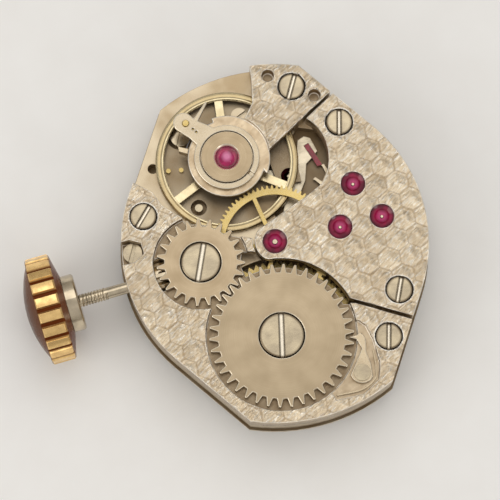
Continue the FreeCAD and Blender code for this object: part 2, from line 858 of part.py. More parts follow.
def balance_cock():
    cock = new_body("balance_cock")
    low, top = d.plate_top, d.bridge_top
    edge = d.cock_disc_radius + 0.2
    end_height = square_root(d.end_radius * d.end_radius - 1.24 * 1.24)
    path = [
        flat_point(0, 2.75, 1, 1),
        (corner_x, corner_y),
        (1.24, end_height, d.end_radius),
        (1.12, end_height - 0.76),
        (0.85, 7.05),
        polar(balance, edge, 50),
        (*polar(balance, edge, -5), edge, RIGHT),
    ]
    pad(cock, low, top, path)
    pocket(cock, low, d.cock_underside, (*balance, rim_well + 0.05))
    pad(cock, d.cock_underside, d.cock_sunk_top, (*balance, edge + 0.02))
    pocket(cock, d.cock_underside, top, (*balance, 0.5))
    # the sunk table is trimmed to a disc on the side away from the cock's foot
    disc = d.cock_disc_radius
    trim = [
        (d.balance_x - 2.4, d.balance_y - 2.4),
        (d.balance_x + 1.2, d.balance_y - 2.4),
        polar(balance, 2.3, -40),
        polar(balance, disc, -34),
        (*polar(balance, disc, -150), disc, RIGHT),
        (*polar(balance, disc, 95), disc, RIGHT),
        polar(balance, 2.6, 95),
        (d.balance_x - 2.6, d.balance_y + 2.6),
    ]
    pocket(cock, d.cock_underside - 0.1, d.cock_sunk_top + 0.02, trim)
    screw_wells(cock, screw_spots["balance_cock"], low)
    poising = [(*from_edge(inset, angle), 0.3) for inset, angle in ((0.62, 76.4), (1.36, 59.1))]
    pocket(cock, 2.2, top, *poising)
    return node(cock)


def pallet_bridge():
    bridge = new_body("pallet_bridge")
    low, top = d.pallet_bridge_low, d.pallet_bridge_top
    path = [(1.02, 3.0), (2.2, 2.8), (2.3, 4.5), (2.02, 5.8), (1.8, 6.25), (1.2, 6.2), (0.95, 5.4),
            (0.92, 4.4)]
    pad(bridge, low, top, path)
    pad(bridge, 1.15, low, [(2.0, 5.75), (1.8, 6.2), (1.2, 6.15), (1.0, 5.6)])
    pocket(bridge, low, top, (*pallet, d.lower_jewel_radius))
    pocket(bridge, 1.15, top, (*pallet_screw, 0.17))
    pocket(bridge, 1.32, top, (*pallet_screw, 0.33))
    return node(bridge)


# Screws

def screw(label, spot, seat, head, thick, shank, depth, slot_turn, slot=None):
    # the seat is the underside of the head
    body = turned(label, stepped([-depth, (shank, 0), (head, thick)]), (*spot, seat), slot_turn)
    width = slot or d.slot_width
    pocket(body, thick * (1 - d.slot_share), thick, rectangle(0, 0, 2.4 * head, width))
    return body


def bridge_screw_set(name, turns):
    seat = d.bridge_top - d.head_sink
    made = []
    for spot, turn in zip(screw_spots[name], turns):
        body = screw(name + "_screw", spot, seat, d.head_radius, d.head_thick,
                     d.shank_radius, seat - d.shank_end, turn)
        made.append(body)
    return made


def screws():
    node(combined("Part::Compound", "barrel_bridge_screws", bridge_screw_set("barrel_bridge", (44, 73))))
    node(combined("Part::Compound", "train_bridge_screws", bridge_screw_set("train_bridge", (74, 64))))
    node(bridge_screw_set("balance_cock", (59,))[0], "balance_cock_screw")
    node(screw("pallet_bridge_screw", pallet_screw, 1.33, 0.3, 0.17, 0.15, 0.55, 30, 0.09))
    node(screw("setting_lever_screw", lever_pivot, 1.97, 0.48, 0.3, 0.2, 1.33, 60))
    lower = []
    for x, y in keyless_screws:
        body = screw("keyless_screw", (x, y), d.cover_low, 0.3, 0.14, 0.14, 0.6, None, 0.09)
        body.Placement = Placement(Vector(), Rotation(Vector(1, 0, 0), 180))
        lower.append(body)
    node(combined("Part::Compound", "keyless_screws", lower))


# Jewels

def jewel(label, axis, low, thick, radius, bore):
    # a ring stone with an oil cup turned in its upper face
    cup = radius * 0.62
    return turned(label, [
        (bore, 0), (radius, 0), (radius, thick), (cup, thick), (bore, thick * 0.45),
    ], (*axis, low))


def jewels():
    upper_low = d.bridge_top - d.jewel_sink - d.jewel_thick
    bore = d.pivot_radius + d.running_gap
    upper = [jewel("upper_jewel", axis, upper_low, d.jewel_thick, d.jewel_radius, bore)
             for axis in (third, fourth, escape)]
    upper.append(jewel("upper_jewel", centre, upper_low, d.jewel_thick, d.jewel_radius, 0.12 + d.running_gap))
    upper.append(jewel("upper_jewel", pallet, d.pallet_bridge_low, 0.19, d.lower_jewel_radius, bore))
    node(combined("Part::Compound", "upper_jewels", upper))
    lower_low = d.train_floor - 0.02 - d.lower_jewel_thick
    thick = d.lower_jewel_thick
    lower = [turned("lower_jewel", ring(bore, d.lower_jewel_radius, 0, thick), (*axis, lower_low))
             for axis in (third, fourth, escape, pallet)]
    lower.append(turned("lower_jewel", ring(d.centre_arbor_radius + d.running_gap, d.jewel_radius, 0, thick),
                        (*centre, 0.48)))
    node(combined("Part::Compound", "lower_jewels", lower))
    pivot = 0.05 + d.running_gap / 2
    stones = [
        turned("balance_hole_jewel", ring(pivot, 0.5, 2.47, 2.67), (*balance, 0)),
        turned("balance_hole_jewel", ring(pivot, 0.45, 0.31, 0.55), (*balance, 0)),
        turned("balance_cap_jewel", [(0, 0), (d.cap_jewel_radius, 0), (d.cap_jewel_radius, 0.16),
                                     (0.3, 0.27), (0, 0.27)], (*balance, 2.76)),
        turned("balance_cap_jewel", stepped([0, (0.43, 0.14)]), (*balance, 0.14)),
    ]
    node(combined("Part::Compound", "balance_jewels", stones))


# Going train

def wheel(label, axis, low, teeth, tip, root, phase, bore, arms, hub, width, shares=(), turn=0.0):
    rim = root - number(d.rim_width)
    wires = [
        toothed_wire(teeth, tip, root, phase, *shares),
        circle_wire(bore),
        *crossing_wires(arms, hub, rim, width, turn),
    ]
    return node(flat_piece(label, wires, d.wheel_thick, (*axis, low)))


def pinion(label, axis, low, tall, leaves, tip, root, phase, shaft):
    leaf = flat_piece(label + "_leaves", [toothed_wire(leaves, tip, root, phase, 0.16, 0.62)],
                      tall, (*axis, low))
    arbor = turned(label + "_arbor", stepped(shaft), (*axis, 0))
    return node(combined("Part::MultiFuse", label, [leaf, arbor]))


def roots(pitch, module):
    return number(pitch) - DEDENDUM * number(module)


def tips(pitch, module):
    return number(pitch) + ADDENDUM * number(module)


phases = {"centre_teeth": 0.0}


def find_phases():
    # one tooth position for each wheel, carried through the train from mesh to mesh
    teeth = {key: int(value) for key, value in DIMENSIONS.items() if key.endswith(("_teeth", "_leaves"))}
    chain = [
        ("centre_teeth", "third_leaves", centre, third),
        ("third_teeth", "fourth_leaves", third, fourth),
        ("fourth_teeth", "escape_leaves", fourth, escape),
        ("barrel_teeth", "centre_leaves", barrel, centre),
        ("ratchet_teeth", "crown_wheel_teeth", barrel, crown_wheel),
        ("cannon_leaves", "minute_teeth", centre, minute),
        ("minute_teeth", "setting_teeth", minute, setting),
        ("minute_leaves", "hour_teeth", minute, centre),
    ]
    phases.update({"third_teeth": 0.0, "fourth_teeth": 0.0, "barrel_teeth": 0.0,
                   "cannon_leaves": 0.0, "minute_leaves": 0.0})
    phases["ratchet_teeth"] = number(d.click_beak_angle) + 180 / teeth["ratchet_teeth"]
    for driver, driven, start, end in chain:
        direction = number(bearing(start, end))
        phases[driven] = mesh_phase(teeth[driver], phases[driver], teeth[driven], direction)
    return teeth


teeth_of = find_phases()


def going_train():
    pivot, arbor = d.pivot_radius, d.arbor_radius
    top = d.bridge_top - d.jewel_sink - 0.08
    seat = 0.25
    wheel("centre_wheel", centre, d.centre_wheel_low, teeth_of["centre_teeth"], number(centre_tip),
          roots(centre_pitch, centre_module), phases["centre_teeth"], seat, 5, 0.55, 0.2, (0.26, 0.66), 26)
    pinion("centre_pinion", centre, d.centre_pinion_low, d.centre_pinion_tall, teeth_of["centre_leaves"],
           number(centre_pinion_tip), roots(centre_pinion_pitch, barrel_module), phases["centre_leaves"],
           [-1.05, (0.12, 0.46), (d.centre_arbor_radius, d.centre_pinion_low), (0.3, d.centre_wheel_low),
            (seat, d.centre_wheel_low + d.wheel_thick), (0.3, 2.3), (0.12, top)])
    wheel("third_wheel", third, d.third_wheel_low, teeth_of["third_teeth"], number(third_tip),
          roots(third_pitch, third_module), phases["third_teeth"], 0.16, 4, 0.4, 0.16)
    pinion("third_pinion", third, d.third_pinion_low, d.third_pinion_tall, teeth_of["third_leaves"],
           number(third_pinion_tip), roots(third_pinion_pitch, centre_module), phases["third_leaves"],
           [0.57, (pivot, d.train_floor), (0.12, d.third_wheel_low),
            (0.16, d.third_wheel_low + d.wheel_thick), (0.2, d.third_pinion_low + d.third_pinion_tall),
            (pivot, top)])
    wheel("fourth_wheel", fourth, d.fourth_wheel_low, teeth_of["fourth_teeth"], number(fourth_tip),
          roots(fourth_pitch, fourth_module), phases["fourth_teeth"], 0.13, 4, 0.35, 0.15)
    pinion("fourth_pinion", fourth, d.fourth_pinion_low, d.fourth_pinion_tall, teeth_of["fourth_leaves"],
           tips(fourth_pinion_pitch, third_module), roots(fourth_pinion_pitch, third_module),
           phases["fourth_leaves"],
           [0.57, (pivot, d.train_floor), (arbor, d.fourth_wheel_low),
            (0.13, d.fourth_wheel_low + d.wheel_thick), (pivot, top)])
    escape_wheel()
    pinion("escape_pinion", escape, d.escape_pinion_low, d.escape_pinion_tall, teeth_of["escape_leaves"],
           number(escape_pinion_tip), roots(escape_pinion_pitch, fourth_module), phases["escape_leaves"],
           [0.57, (pivot, d.train_floor), (0.11, d.escape_wheel_low), (0.13, d.escape_wheel_low + 0.12),
            (0.11, d.escape_pinion_low + d.escape_pinion_tall), (pivot, top)])


def escape_wheel():
    # club teeth lean the way the wheel turns: a raked locking face, a toe and an impulse face
    tip = number(d.escape_tip)
    rim = tip - 0.5
    count = teeth_of["escape_teeth"]
    pitch = 2 * math.pi / count
    club = [(rim, 0.02), (tip - 0.09, -0.12), (tip, 0.06), (tip - 0.12, 0.06), (rim + 0.03, 0.3)]
    points = []
    first = math.radians(number(fork_angle)) + math.pi - math.radians(30) + 0.02 * pitch
    for tooth in range(count):
        for radius, share in club:
            points.append(spun(radius, first + (tooth + share) * pitch))
    wires = [
        Part.makePolygon(points + points[:1]),
        circle_wire(0.13),
        *crossing_wires(4, 0.36, rim - 0.2, 0.2, 20),
    ]
    return node(flat_piece("escape_wheel", wires, 0.12, (*escape, d.escape_wheel_low)))


# Barrel

def spiral_strip(label, distances, thick, tall, start, hand, at):
    # half turns: each runs from one distance to the next on the far side of the axis
    edges = {-1: [], 1: []}
    ends = {-1: [], 1: []}
    angle = math.radians(start)
    for near, far in zip(distances, distances[1:]):
        radius = (near + far) / 2
        middle = spun(near - radius, angle)
        for side in (-1, 1):
            turn = [middle + spun(radius + side * thick / 2, angle + hand * part * math.pi)
                    for part in (0, 0.5, 1)]
            edges[side].append(Part.Arc(*turn).toShape())
            ends[side] += [turn[0], turn[2]]
        angle += hand * math.pi
    caps = [Part.LineSegment(ends[-1][where], ends[1][where]).toShape() for where in (0, -1)]
    wire = Part.Wire(Part.__sortEdges__(edges[-1] + edges[1] + caps))
    return flat_piece(label, [wire], tall, at)


def barrel_parts():
    low, top, wall = d.drum_low, d.drum_top, d.drum_wall
    radius, bore = d.drum_radius, d.barrel_arbor_radius + d.running_gap
    cover_low = top - 0.16
    drum = turned("drum_body", [
        (bore, low), (radius, low), (radius, top), (radius - wall, top),
        (radius - wall, low + 0.17), (bore, low + 0.17),
    ], (*barrel, 0))
    flange = [
        toothed_wire(teeth_of["barrel_teeth"], number(barrel_tip), roots(barrel_pitch, barrel_module),
                     phases["barrel_teeth"]),
        circle_wire(number(radius) - 0.1),
    ]
    crown_of_teeth = flat_piece("drum_teeth", flange, d.barrel_teeth_thick, (*barrel, d.barrel_teeth_low))
    node(combined("Part::MultiFuse", "barrel_drum", [drum, crown_of_teeth]))
    cover_radius = radius - wall
    node(turned("barrel_cover", ring(bore, cover_radius, cover_low, top), (*barrel, 0)))
    floor = low + 0.19
    arbor = turned("arbor_body", stepped([
        0.1, (d.barrel_pivot_radius, low - 0.02), (d.barrel_arbor_radius, floor),
        (d.barrel_core_radius, cover_low - 0.03), (d.barrel_arbor_radius, top + 0.05),
        (d.barrel_pivot_radius, d.ratchet_low), (0.33, d.bridge_top - d.big_head_sink),
    ]), (*barrel, 0))
    pocket(arbor, 2.2, d.bridge_top, (0, 0, 0.16))
    node(arbor, "barrel_arbor")
    core, shell = number(d.barrel_core_radius), number(cover_radius)
    thick = number(d.mainspring_thick)
    halves = 8
    step = (shell - core - 2 * thick - 0.12) / halves
    distances = [core + thick + 0.03 + step * half for half in range(halves + 1)]
    node(spiral_strip("mainspring", distances, thick, number(cover_low - floor) - 0.06, 30, 1,
                      (*barrel, floor + 0.03)))


# Winding work

def sunk_head_wheel(label, axis, teeth, tip, root, phase, bore, head):
    low, top = d.ratchet_low, d.bridge_top
    wires = [toothed_wire(teeth, tip, root, phase, 0.2, 0.64), circle_wire(bore)]
    blank = flat_piece(label + "_blank", wires, top - low, (*axis, low))
    sink = doc.addObject("Part::Cylinder", label + "_sink")
    sink.setExpression("Radius", formula(head + 0.04))
    sink.setExpression("Height", formula(d.big_head_sink + 0.1))
    place(sink, (*axis, top - d.big_head_sink))
    return node(combined("Part::Cut", label, [blank, sink]))


def winding_wheels():
    sunk_head_wheel("ratchet_wheel", barrel, teeth_of["ratchet_teeth"], number(ratchet_tip),
                    roots(ratchet_pitch, ratchet_module), phases["ratchet_teeth"], 0.33,
                    d.ratchet_screw_radius)
    sunk_head_wheel("crown_wheel", crown_wheel, teeth_of["crown_wheel_teeth"], number(crown_wheel_tip),
                    roots(crown_wheel_pitch, ratchet_module), phases["crown_wheel_teeth"],
                    number(d.crown_core_radius) + number(d.running_gap), d.crown_screw_radius)
    seat = d.bridge_top - d.big_head_sink
    thick, under = d.big_head_sink + 0.02, seat + 0.01
    node(screw("ratchet_screw", barrel, under, d.ratchet_screw_radius, thick, 0.15, 0.48, 76,
               d.big_slot_width))
    core = screw("crown_wheel_screw", crown_wheel, under, d.crown_screw_radius, thick,
                 d.crown_core_radius, under - d.recess_floor, 65, d.big_slot_width)
    pad(core, 2.33 - under, d.recess_floor - under, (0, 0, d.shank_radius))
    node(core)


def click_work():
    click = new_body("click")
    low, top = d.click_low, d.bridge_top - 0.03
    beak = polar(barrel, 3.27, d.click_beak_angle)
    path = [
        beak,
        polar(barrel, ratchet_tip + 0.1, d.click_beak_angle - 1.6),
        (2.62, -6.3),
        (2.1, -6.95),
        (1.72, -7.4),
        (2.75, -7.8, 0.6),
        (2.84, -7.1),
        (2.78, -6.5),
        (2.92, -6.0),
        (2.74, -5.5, 0.6),
        polar(barrel, ratchet_tip + 0.1, d.click_beak_angle + 1.6),
    ]
    pad(click, low, top, path)
    pocket(click, low, top, (*click_pivot, d.click_pivot_radius))
    node(click)
    pivot = d.click_pivot_radius - d.running_gap
    node(turned("click_screw", stepped([
        1.95, (0.16, low - 0.02), (pivot, top + 0.01), (0.42, top + 0.06),
    ]), (*click_pivot, 0)))
    # a bent wire in the click's own well keeps the beak in the ratchet teeth
    spring = new_body("click_spring")
    pad(spring, low, low + 0.12, [
        (0.8, -8.22), (1.75, -8.3), (2.94, -7.86, 1.6), (3.11, -7.2), (3.17, -6.5),
        (3.1, -6.5), (3.04, -7.16), (2.88, -7.8), (1.74, -8.22, 1.52, RIGHT), (0.8, -8.14),
    ])
    node(spring)


def winding_pinion_phase():
    # a tooth of the pinion points up into a gap of the crown wheel
    pitch = 360 / teeth_of["crown_wheel_teeth"]
    into_cycle = ((180 - phases["crown_wheel_teeth"]) / pitch) % 1
    return (0.5 - into_cycle) * 360 / teeth_of["winding_teeth"]


def stem_parts():
    reach, length = number(d.winding_pinion_reach), number(d.winding_pinion_length)
    offset = winding_pinion_phase()
    bore = number(d.stem_radius) - 0.04 + number(d.running_gap)
    # about the stem, the piece's own X points down in the movement and its Y stays
    wires = [toothed_wire(teeth_of["winding_teeth"], number(d.winding_pinion_radius),
                          number(d.winding_pinion_radius) - 0.3, 180 + offset, 0.3, 0.62),
             circle_wire(bore)]
    pinion_piece = flat_piece("winding_pinion", wires, length, None)
    pinion_piece.Placement = Placement(Vector(), Rotation(Vector(0, 1, 0), -90))
    pinion_piece.setExpression("Placement.Base.x", formula(-d.winding_pinion_reach))
    pinion_piece.setExpression("Placement.Base.z", formula(d.stem_level))
    node(pinion_piece)

    clutch = laid_along_stem(new_body("clutch_wheel"))
    inner, outer = clutch_inner, clutch_outer
    hole = d.stem_square * 0.7072 + d.running_gap
    revolve(clutch, [
        (hole, inner), (d.clutch_radius - 0.06, inner), (d.clutch_radius - 0.06, inner + 0.3),
        (d.clutch_groove_radius, inner + 0.3), (d.clutch_groove_radius, inner + 0.62),
        (d.clutch_radius, inner + 0.62), (d.clutch_radius, outer), (hole, outer),
    ])
    notches = 10
    for part in range(notches // 2):
        turn = part * 360 / notches
        across = [polar(centre, 1.0, turn + side) for side in (-5, 5, 175, 185)]
        pocket(clutch, inner - 0.01, inner + 0.12, across)
    node(clutch)

    stem = laid_along_stem(new_body("winding_stem"))
    plain, groove = d.stem_radius, d.stem_groove_radius
    revolve(stem, stepped([
        stem_tip, (0.13, clutch_inner - 0.35), (d.stem_square * 0.7, d.winding_pinion_reach - 0.05),
        (plain - 0.04, pinion_outer + 0.29), (groove, pinion_outer + 0.57), (plain, d.crown_back + 0.2),
    ]))
    node(stem)

    boss = laid_along_stem(new_body("crown_core"))
    hole = plain + d.running_gap / 2
    shoulder = d.crown_back - d.crown_cone - 0.02
    revolve(boss, [
        (hole, d.crown_boss_back), (d.crown_boss_radius - 0.08, d.crown_boss_back),
        (d.crown_boss_radius, d.crown_boss_back + 0.08), (d.crown_boss_radius, shoulder),
        (1.1, shoulder), (1.1, d.crown_back + 0.25), (hole, d.crown_back + 0.25),
    ])
    node(boss)
    crown()


def crown():
    radius, back = d.crown_radius, d.crown_back
    front, peak = back + d.crown_band, back + d.crown_band + d.crown_dome
    edge, rise, cone = radius - 0.3, d.crown_dome, back - d.crown_cone
    dome = (edge * edge + rise * rise) / (2 * rise)
    form = new_body("crown_form")
    revolve(form, [
        (0, back + 0.27), (1.12, back + 0.27), (1.12, cone), (d.crown_boss_radius + 0.05, cone),
        (radius - 0.08, back), (radius, back + 0.08), (radius, front - 0.08), (radius - 0.08, front),
        (edge, front), (0, peak, dome),
    ])
    count, tip = DIMENSIONS["crown_flutes"], number(radius) + 0.01
    fluted = flat_piece("crown_flute_form", [toothed_wire(count, tip, tip - 0.2, 0, 0.58, 0.86)],
                        peak - cone + 0.1, (0, 0, cone - 0.05))
    whole = combined("Part::MultiCommon", "crown", [form, fluted])
    laid_along_stem(whole)
    node(whole)


# Pallets

def along(start, direction, length, side=0.0):
    # a point at a distance along a direction in degrees, and at a distance to its left
    x = start[0] + length * cosine(direction) - side * sine(direction)
    y = start[1] + length * sine(direction) + side * cosine(direction)
    return x, y


STONE_TILT = 45


def stone_tip(side):
    # where a stone meets the escape wheel, in the fork's frame
    x = fork_to_escape - d.escape_tip * cosine(30)
    y = d.escape_tip * sine(30)
    return x, (y if side > 0 else -y)


def away_from_wheel(side):
    return 180 - side * STONE_TILT


def stone_path(side):
    # the impulse face slopes, so that the let-off corner reaches deeper than the locking one
    away, half = away_from_wheel(side), d.stone_width / 2
    start = along(stone_tip(side), away, -0.06, half)
    return [along(start, away, 0, -half), along(start, away, 0.07, half),
            along(start, away, d.stone_length, half), along(start, away, d.stone_length, -half)]


def pallets():
    fork = new_body("pallet_fork", (*pallet, 0), fork_angle)
    low, top = d.fork_low, d.fork_low + d.fork_thick
    reach = fork_to_balance - d.impulse_radius
    body_path = [
        (-0.25, -0.42), (0.05, -1.0), (0.1, -1.75), (0.35, -2.15), (0.75, -2.0), (1.15, -1.55),
        (0.95, -1.35), (0.72, -0.8), (0.85, 0.0), (0.72, 0.85), (0.98, 1.3), (1.12, 1.62), (0.62, 2.2),
        (0.3, 2.22), (0.02, 1.95), (0.12, 1.2), (-0.25, 0.42), (-0.6, 0.16),
        (0.28 - reach, 0.1), (0.12 - reach, 0.34), (-0.16 - reach, 0.36), (-0.06 - reach, 0.1),
        (0.14 - reach, 0.09), (0.14 - reach, -0.09), (-0.06 - reach, -0.1), (-0.16 - reach, -0.36),
        (0.12 - reach, -0.34), (0.28 - reach, -0.1), (-0.6, -0.16),
    ]
    pad(fork, low, top, body_path)
    # slots that hold the stones, and the bore of the arbor
    for side in (1, -1):
        away, half = away_from_wheel(side), d.stone_width / 2 + 0.005
        tip = along(stone_tip(side), away, 0, d.stone_width / 2)
        slot = [along(tip, away, 0, -half), along(tip, away, 0, half),
                along(tip, away, d.stone_length - 0.05, half),
                along(tip, away, d.stone_length - 0.05, -half)]
        pocket(fork, low, top, slot)
    pocket(fork, low, top, (0, 0, 0.14))
    # guard dart under the horns
    dart = [(0.3 - reach, -0.06), (0.3 - reach, 0.06), (-0.2 - reach, 0.03), (-0.2 - reach, -0.03)]
    pad(fork, low - 0.08, low, dart)
    node(fork)
    stones = []
    for side in (1, -1):
        stone = new_body("pallet_stone", (*pallet, 0), fork_angle)
        pad(stone, low - 0.05, top + 0.03, stone_path(side))
        stones.append(stone)
    node(combined("Part::Compound", "pallet_stones", stones))
    pivot = d.pivot_radius
    node(turned("pallet_arbor", stepped([
        0.57, (pivot, d.train_floor + 0.02), (0.2, low), (0.14, top), (0.18, d.pallet_bridge_low - 0.02),
        (pivot, d.pallet_bridge_top - 0.02),
    ]), (*pallet, 0)))


# Balance

def balance_parts():
    low, radius = d.rim_low, number(d.rim_radius)
    inner = radius - number(d.rim_thick)
    bore, hub = number(d.staff_seat_radius), 0.62
    turn = DIMENSIONS["arm_angle"]
    rim = turned("balance_rim", [
        (d.rim_radius - d.rim_thick, low), (d.rim_radius, low), (d.rim_radius, low + d.rim_tall - 0.08),
        (d.rim_radius - 0.1, low + d.rim_tall), (d.rim_radius - d.rim_thick, low + d.rim_tall),
    ], (*balance, 0))
    wires = [circle_wire(inner + 0.1), circle_wire(bore),
             *crossing_wires(3, hub, inner - 0.03, number(d.arm_width), turn)]
    arms = flat_piece("balance_arms", wires, d.arm_thick, (*balance, d.arm_low))
    node(combined("Part::MultiFuse", "balance_wheel", [rim, arms]))
    seat_top = d.arm_low + d.arm_thick + 0.08
    node(turned("balance_staff", [
        (0, 0.29), (0.05, 0.29), (0.05, 0.56), (0.2, 0.8), (0.2, 1.36), (0.5, 1.36),
        (0.5, d.arm_low), (d.staff_seat_radius, d.arm_low), (d.staff_seat_radius, seat_top),
        (0.2, seat_top), (0.2, 2.3), (0.05, 2.42), (0.05, 2.74), (0, 2.74),
    ], (*balance, 0)))
    roller = turned("roller", [
        (0.2, 0.9), (0.34, 0.9), (0.34, 1.22), (d.roller_radius, 1.22), (d.roller_radius, 1.33), (0.2, 1.33),
    ], (*balance, 0))
    node(roller)
    pin_at = polar(balance, d.impulse_radius, fork_angle)
    node(turned("impulse_jewel", stepped([0.98, (d.impulse_pin_radius, 1.215)]), (*pin_at, 0)))
    collet_inner = 0.2
    inner_r, outer_r = number(d.hairspring_inner), number(d.hairspring_outer)
    halves = DIMENSIONS["hairspring_halves"]
    # the last half turn steps out to the curb pins and the stud
    step = (outer_r - 0.4 - inner_r) / (halves - 1)
    distances = [inner_r + step * half for half in range(halves)] + [outer_r]
    start = number(d.stud_angle) - 180 * halves
    spring = spiral_strip("hairspring_coils", distances, number(d.hairspring_thick), d.hairspring_tall,
                          start, 1, (*balance, d.hairspring_low))
    collet = turned("collet", ring(collet_inner, inner_r, d.hairspring_low - 0.06,
                                   d.hairspring_low + 0.17), (*balance, 0))
    node(combined("Part::MultiFuse", "hairspring", [spring, collet]))
    gap = step * 2 - number(d.hairspring_thick)
    print(f"hairspring: {halves} half turns, {gap:.3f} mm between coils")


def regulator_parts():
    regulator = new_body("regulator", (*balance, 0))
    low, top = d.cock_sunk_top + 0.02, d.regulator_top
    pad(regulator, low, top, (0, 0, d.regulator_radius))
    lobe = (-1.6, 2.28)
    pad(regulator, low, top, [
        (-1.2, 0.9), (-0.15, 1.52), (-0.5, 1.86), (-0.95, 2.2), polar(lobe, 0.5, 40),
        (*polar(lobe, 0.5, 215), 0.5), (-1.52, 1.42),
    ])
    # the pointer
    pad(regulator, low, top, [(-1.35, 1.62), (-0.18, 2.93), (-0.26, 3.0), (-1.6, 1.86)])
    pocket(regulator, low, top, (0, 0, d.regulator_bore))
    slit = [polar(centre, reach, angle) for reach, angle in ((1.1, -55), (1.8, -54), (1.8, -48), (1.1, -47))]
    pocket(regulator, low + 0.1, top, slit)
    pins = [polar(balance, d.hairspring_outer - 0.01 + side * 0.11, 124) for side in (-1, 1)]
    pocket(regulator, low, top, (-1.5, 2.2, 0.15),
           *[(x - d.balance_x, y - d.balance_y, 0.05) for x, y in pins])
    node(regulator)
    gilt = [turned("curb_pin", stepped([d.hairspring_low - 0.02, (0.05, low + 0.1)]), (*pin_spot, 0))
            for pin_spot in pins]
    gilt.append(turned("regulator_pin", stepped([low - 0.1, (0.15, top + 0.05)]),
                       (d.balance_x - 1.5, d.balance_y + 2.2, 0)))
    node(combined("Part::Compound", "regulator_pins", gilt))
    setting_top = d.regulator_top + 0.04
    node(turned("cap_jewel_setting", [
        (0.5, d.cock_sunk_top), (d.cap_setting_radius, d.cock_sunk_top), (d.cap_setting_radius, setting_top),
        (0.66, setting_top), (d.cap_jewel_radius, 2.93), (d.cap_jewel_radius, 2.76), (0.5, 2.76),
    ], (*balance, 0)))
    node(turned("lower_cap_plate", stepped([0.01, (0.88, 0.12)]), (*balance, 0)))
    stud = new_body("hairspring_stud", (*balance, 0))
    pad(stud, d.hairspring_low - 0.05, d.cock_sunk_top, [
        polar(centre, d.hairspring_outer + 0.3, 156), polar(centre, d.cock_disc_radius + 0.01, 158),
        polar(centre, d.cock_disc_radius + 0.01, 150.5), polar(centre, d.hairspring_outer + 0.4, 150.5),
    ])
    node(stud)


# Keyless work and motion work, under the plate

def motion_work():
    low = d.minute_wheel_low
    outline = toothed_wire(teeth_of["cannon_leaves"], tips(cannon_pitch, minute_module),
                           roots(cannon_pitch, minute_module), phases["cannon_leaves"], 0.16, 0.62)
    leaves = flat_piece("cannon_leaves", [outline], 0.23, (*centre, low - 0.02))
    pipe = turned("cannon_pipe", stepped([-d.cannon_reach, (d.cannon_radius, low + 0.21)]), (*centre, 0))
    solid = combined("Part::MultiFuse", "cannon_solid", [leaves, pipe])
    bore = doc.addObject("Part::Cylinder", "cannon_bore")
    bore.Radius = 0.13
    bore.Height = 4
    place(bore, (*centre, -2))
    node(combined("Part::Cut", "cannon_pinion", [solid, bore]))
    hole = number(d.post_radius) + number(d.running_gap)
    outline = toothed_wire(teeth_of["minute_teeth"], number(minute_tip),
                           roots(minute_pitch, minute_module), phases["minute_teeth"])
    plate = flat_piece("minute_plate", [outline, circle_wire(hole)], d.minute_wheel_thick, (*minute, low))
    outline = toothed_wire(teeth_of["minute_leaves"], tips(minute_pinion_pitch, hour_module),
                           roots(minute_pinion_pitch, hour_module), phases["minute_leaves"], 0.16, 0.62)
    small = flat_piece("minute_leaves_piece", [outline, circle_wire(hole)], 0.2, (*minute, low - 0.2))
    node(combined("Part::MultiFuse", "minute_wheel", [plate, small]))
    wide = number(d.cannon_radius) + number(d.running_gap)
    outline = toothed_wire(teeth_of["hour_teeth"], number(hour_tip), roots(hour_pitch, hour_module),
                           phases["hour_teeth"])
    hour_plate = flat_piece("hour_plate", [outline, circle_wire(wide)], d.hour_wheel_thick,
                            (*centre, d.hour_wheel_low))
    pipe_ring = ring(wide, d.hour_pipe_radius, -d.hour_pipe_reach, d.hour_wheel_low + 0.05)
    hour_pipe = turned("hour_pipe", pipe_ring, (*centre, 0))
    node(combined("Part::MultiFuse", "hour_wheel", [hour_plate, hour_pipe]))
    outline = toothed_wire(teeth_of["setting_teeth"], number(setting_tip),
                           roots(setting_pitch, minute_module), phases["setting_teeth"])
    node(flat_piece("setting_wheel", [outline, circle_wire(hole)], 0.64, (*setting, 0.22)))


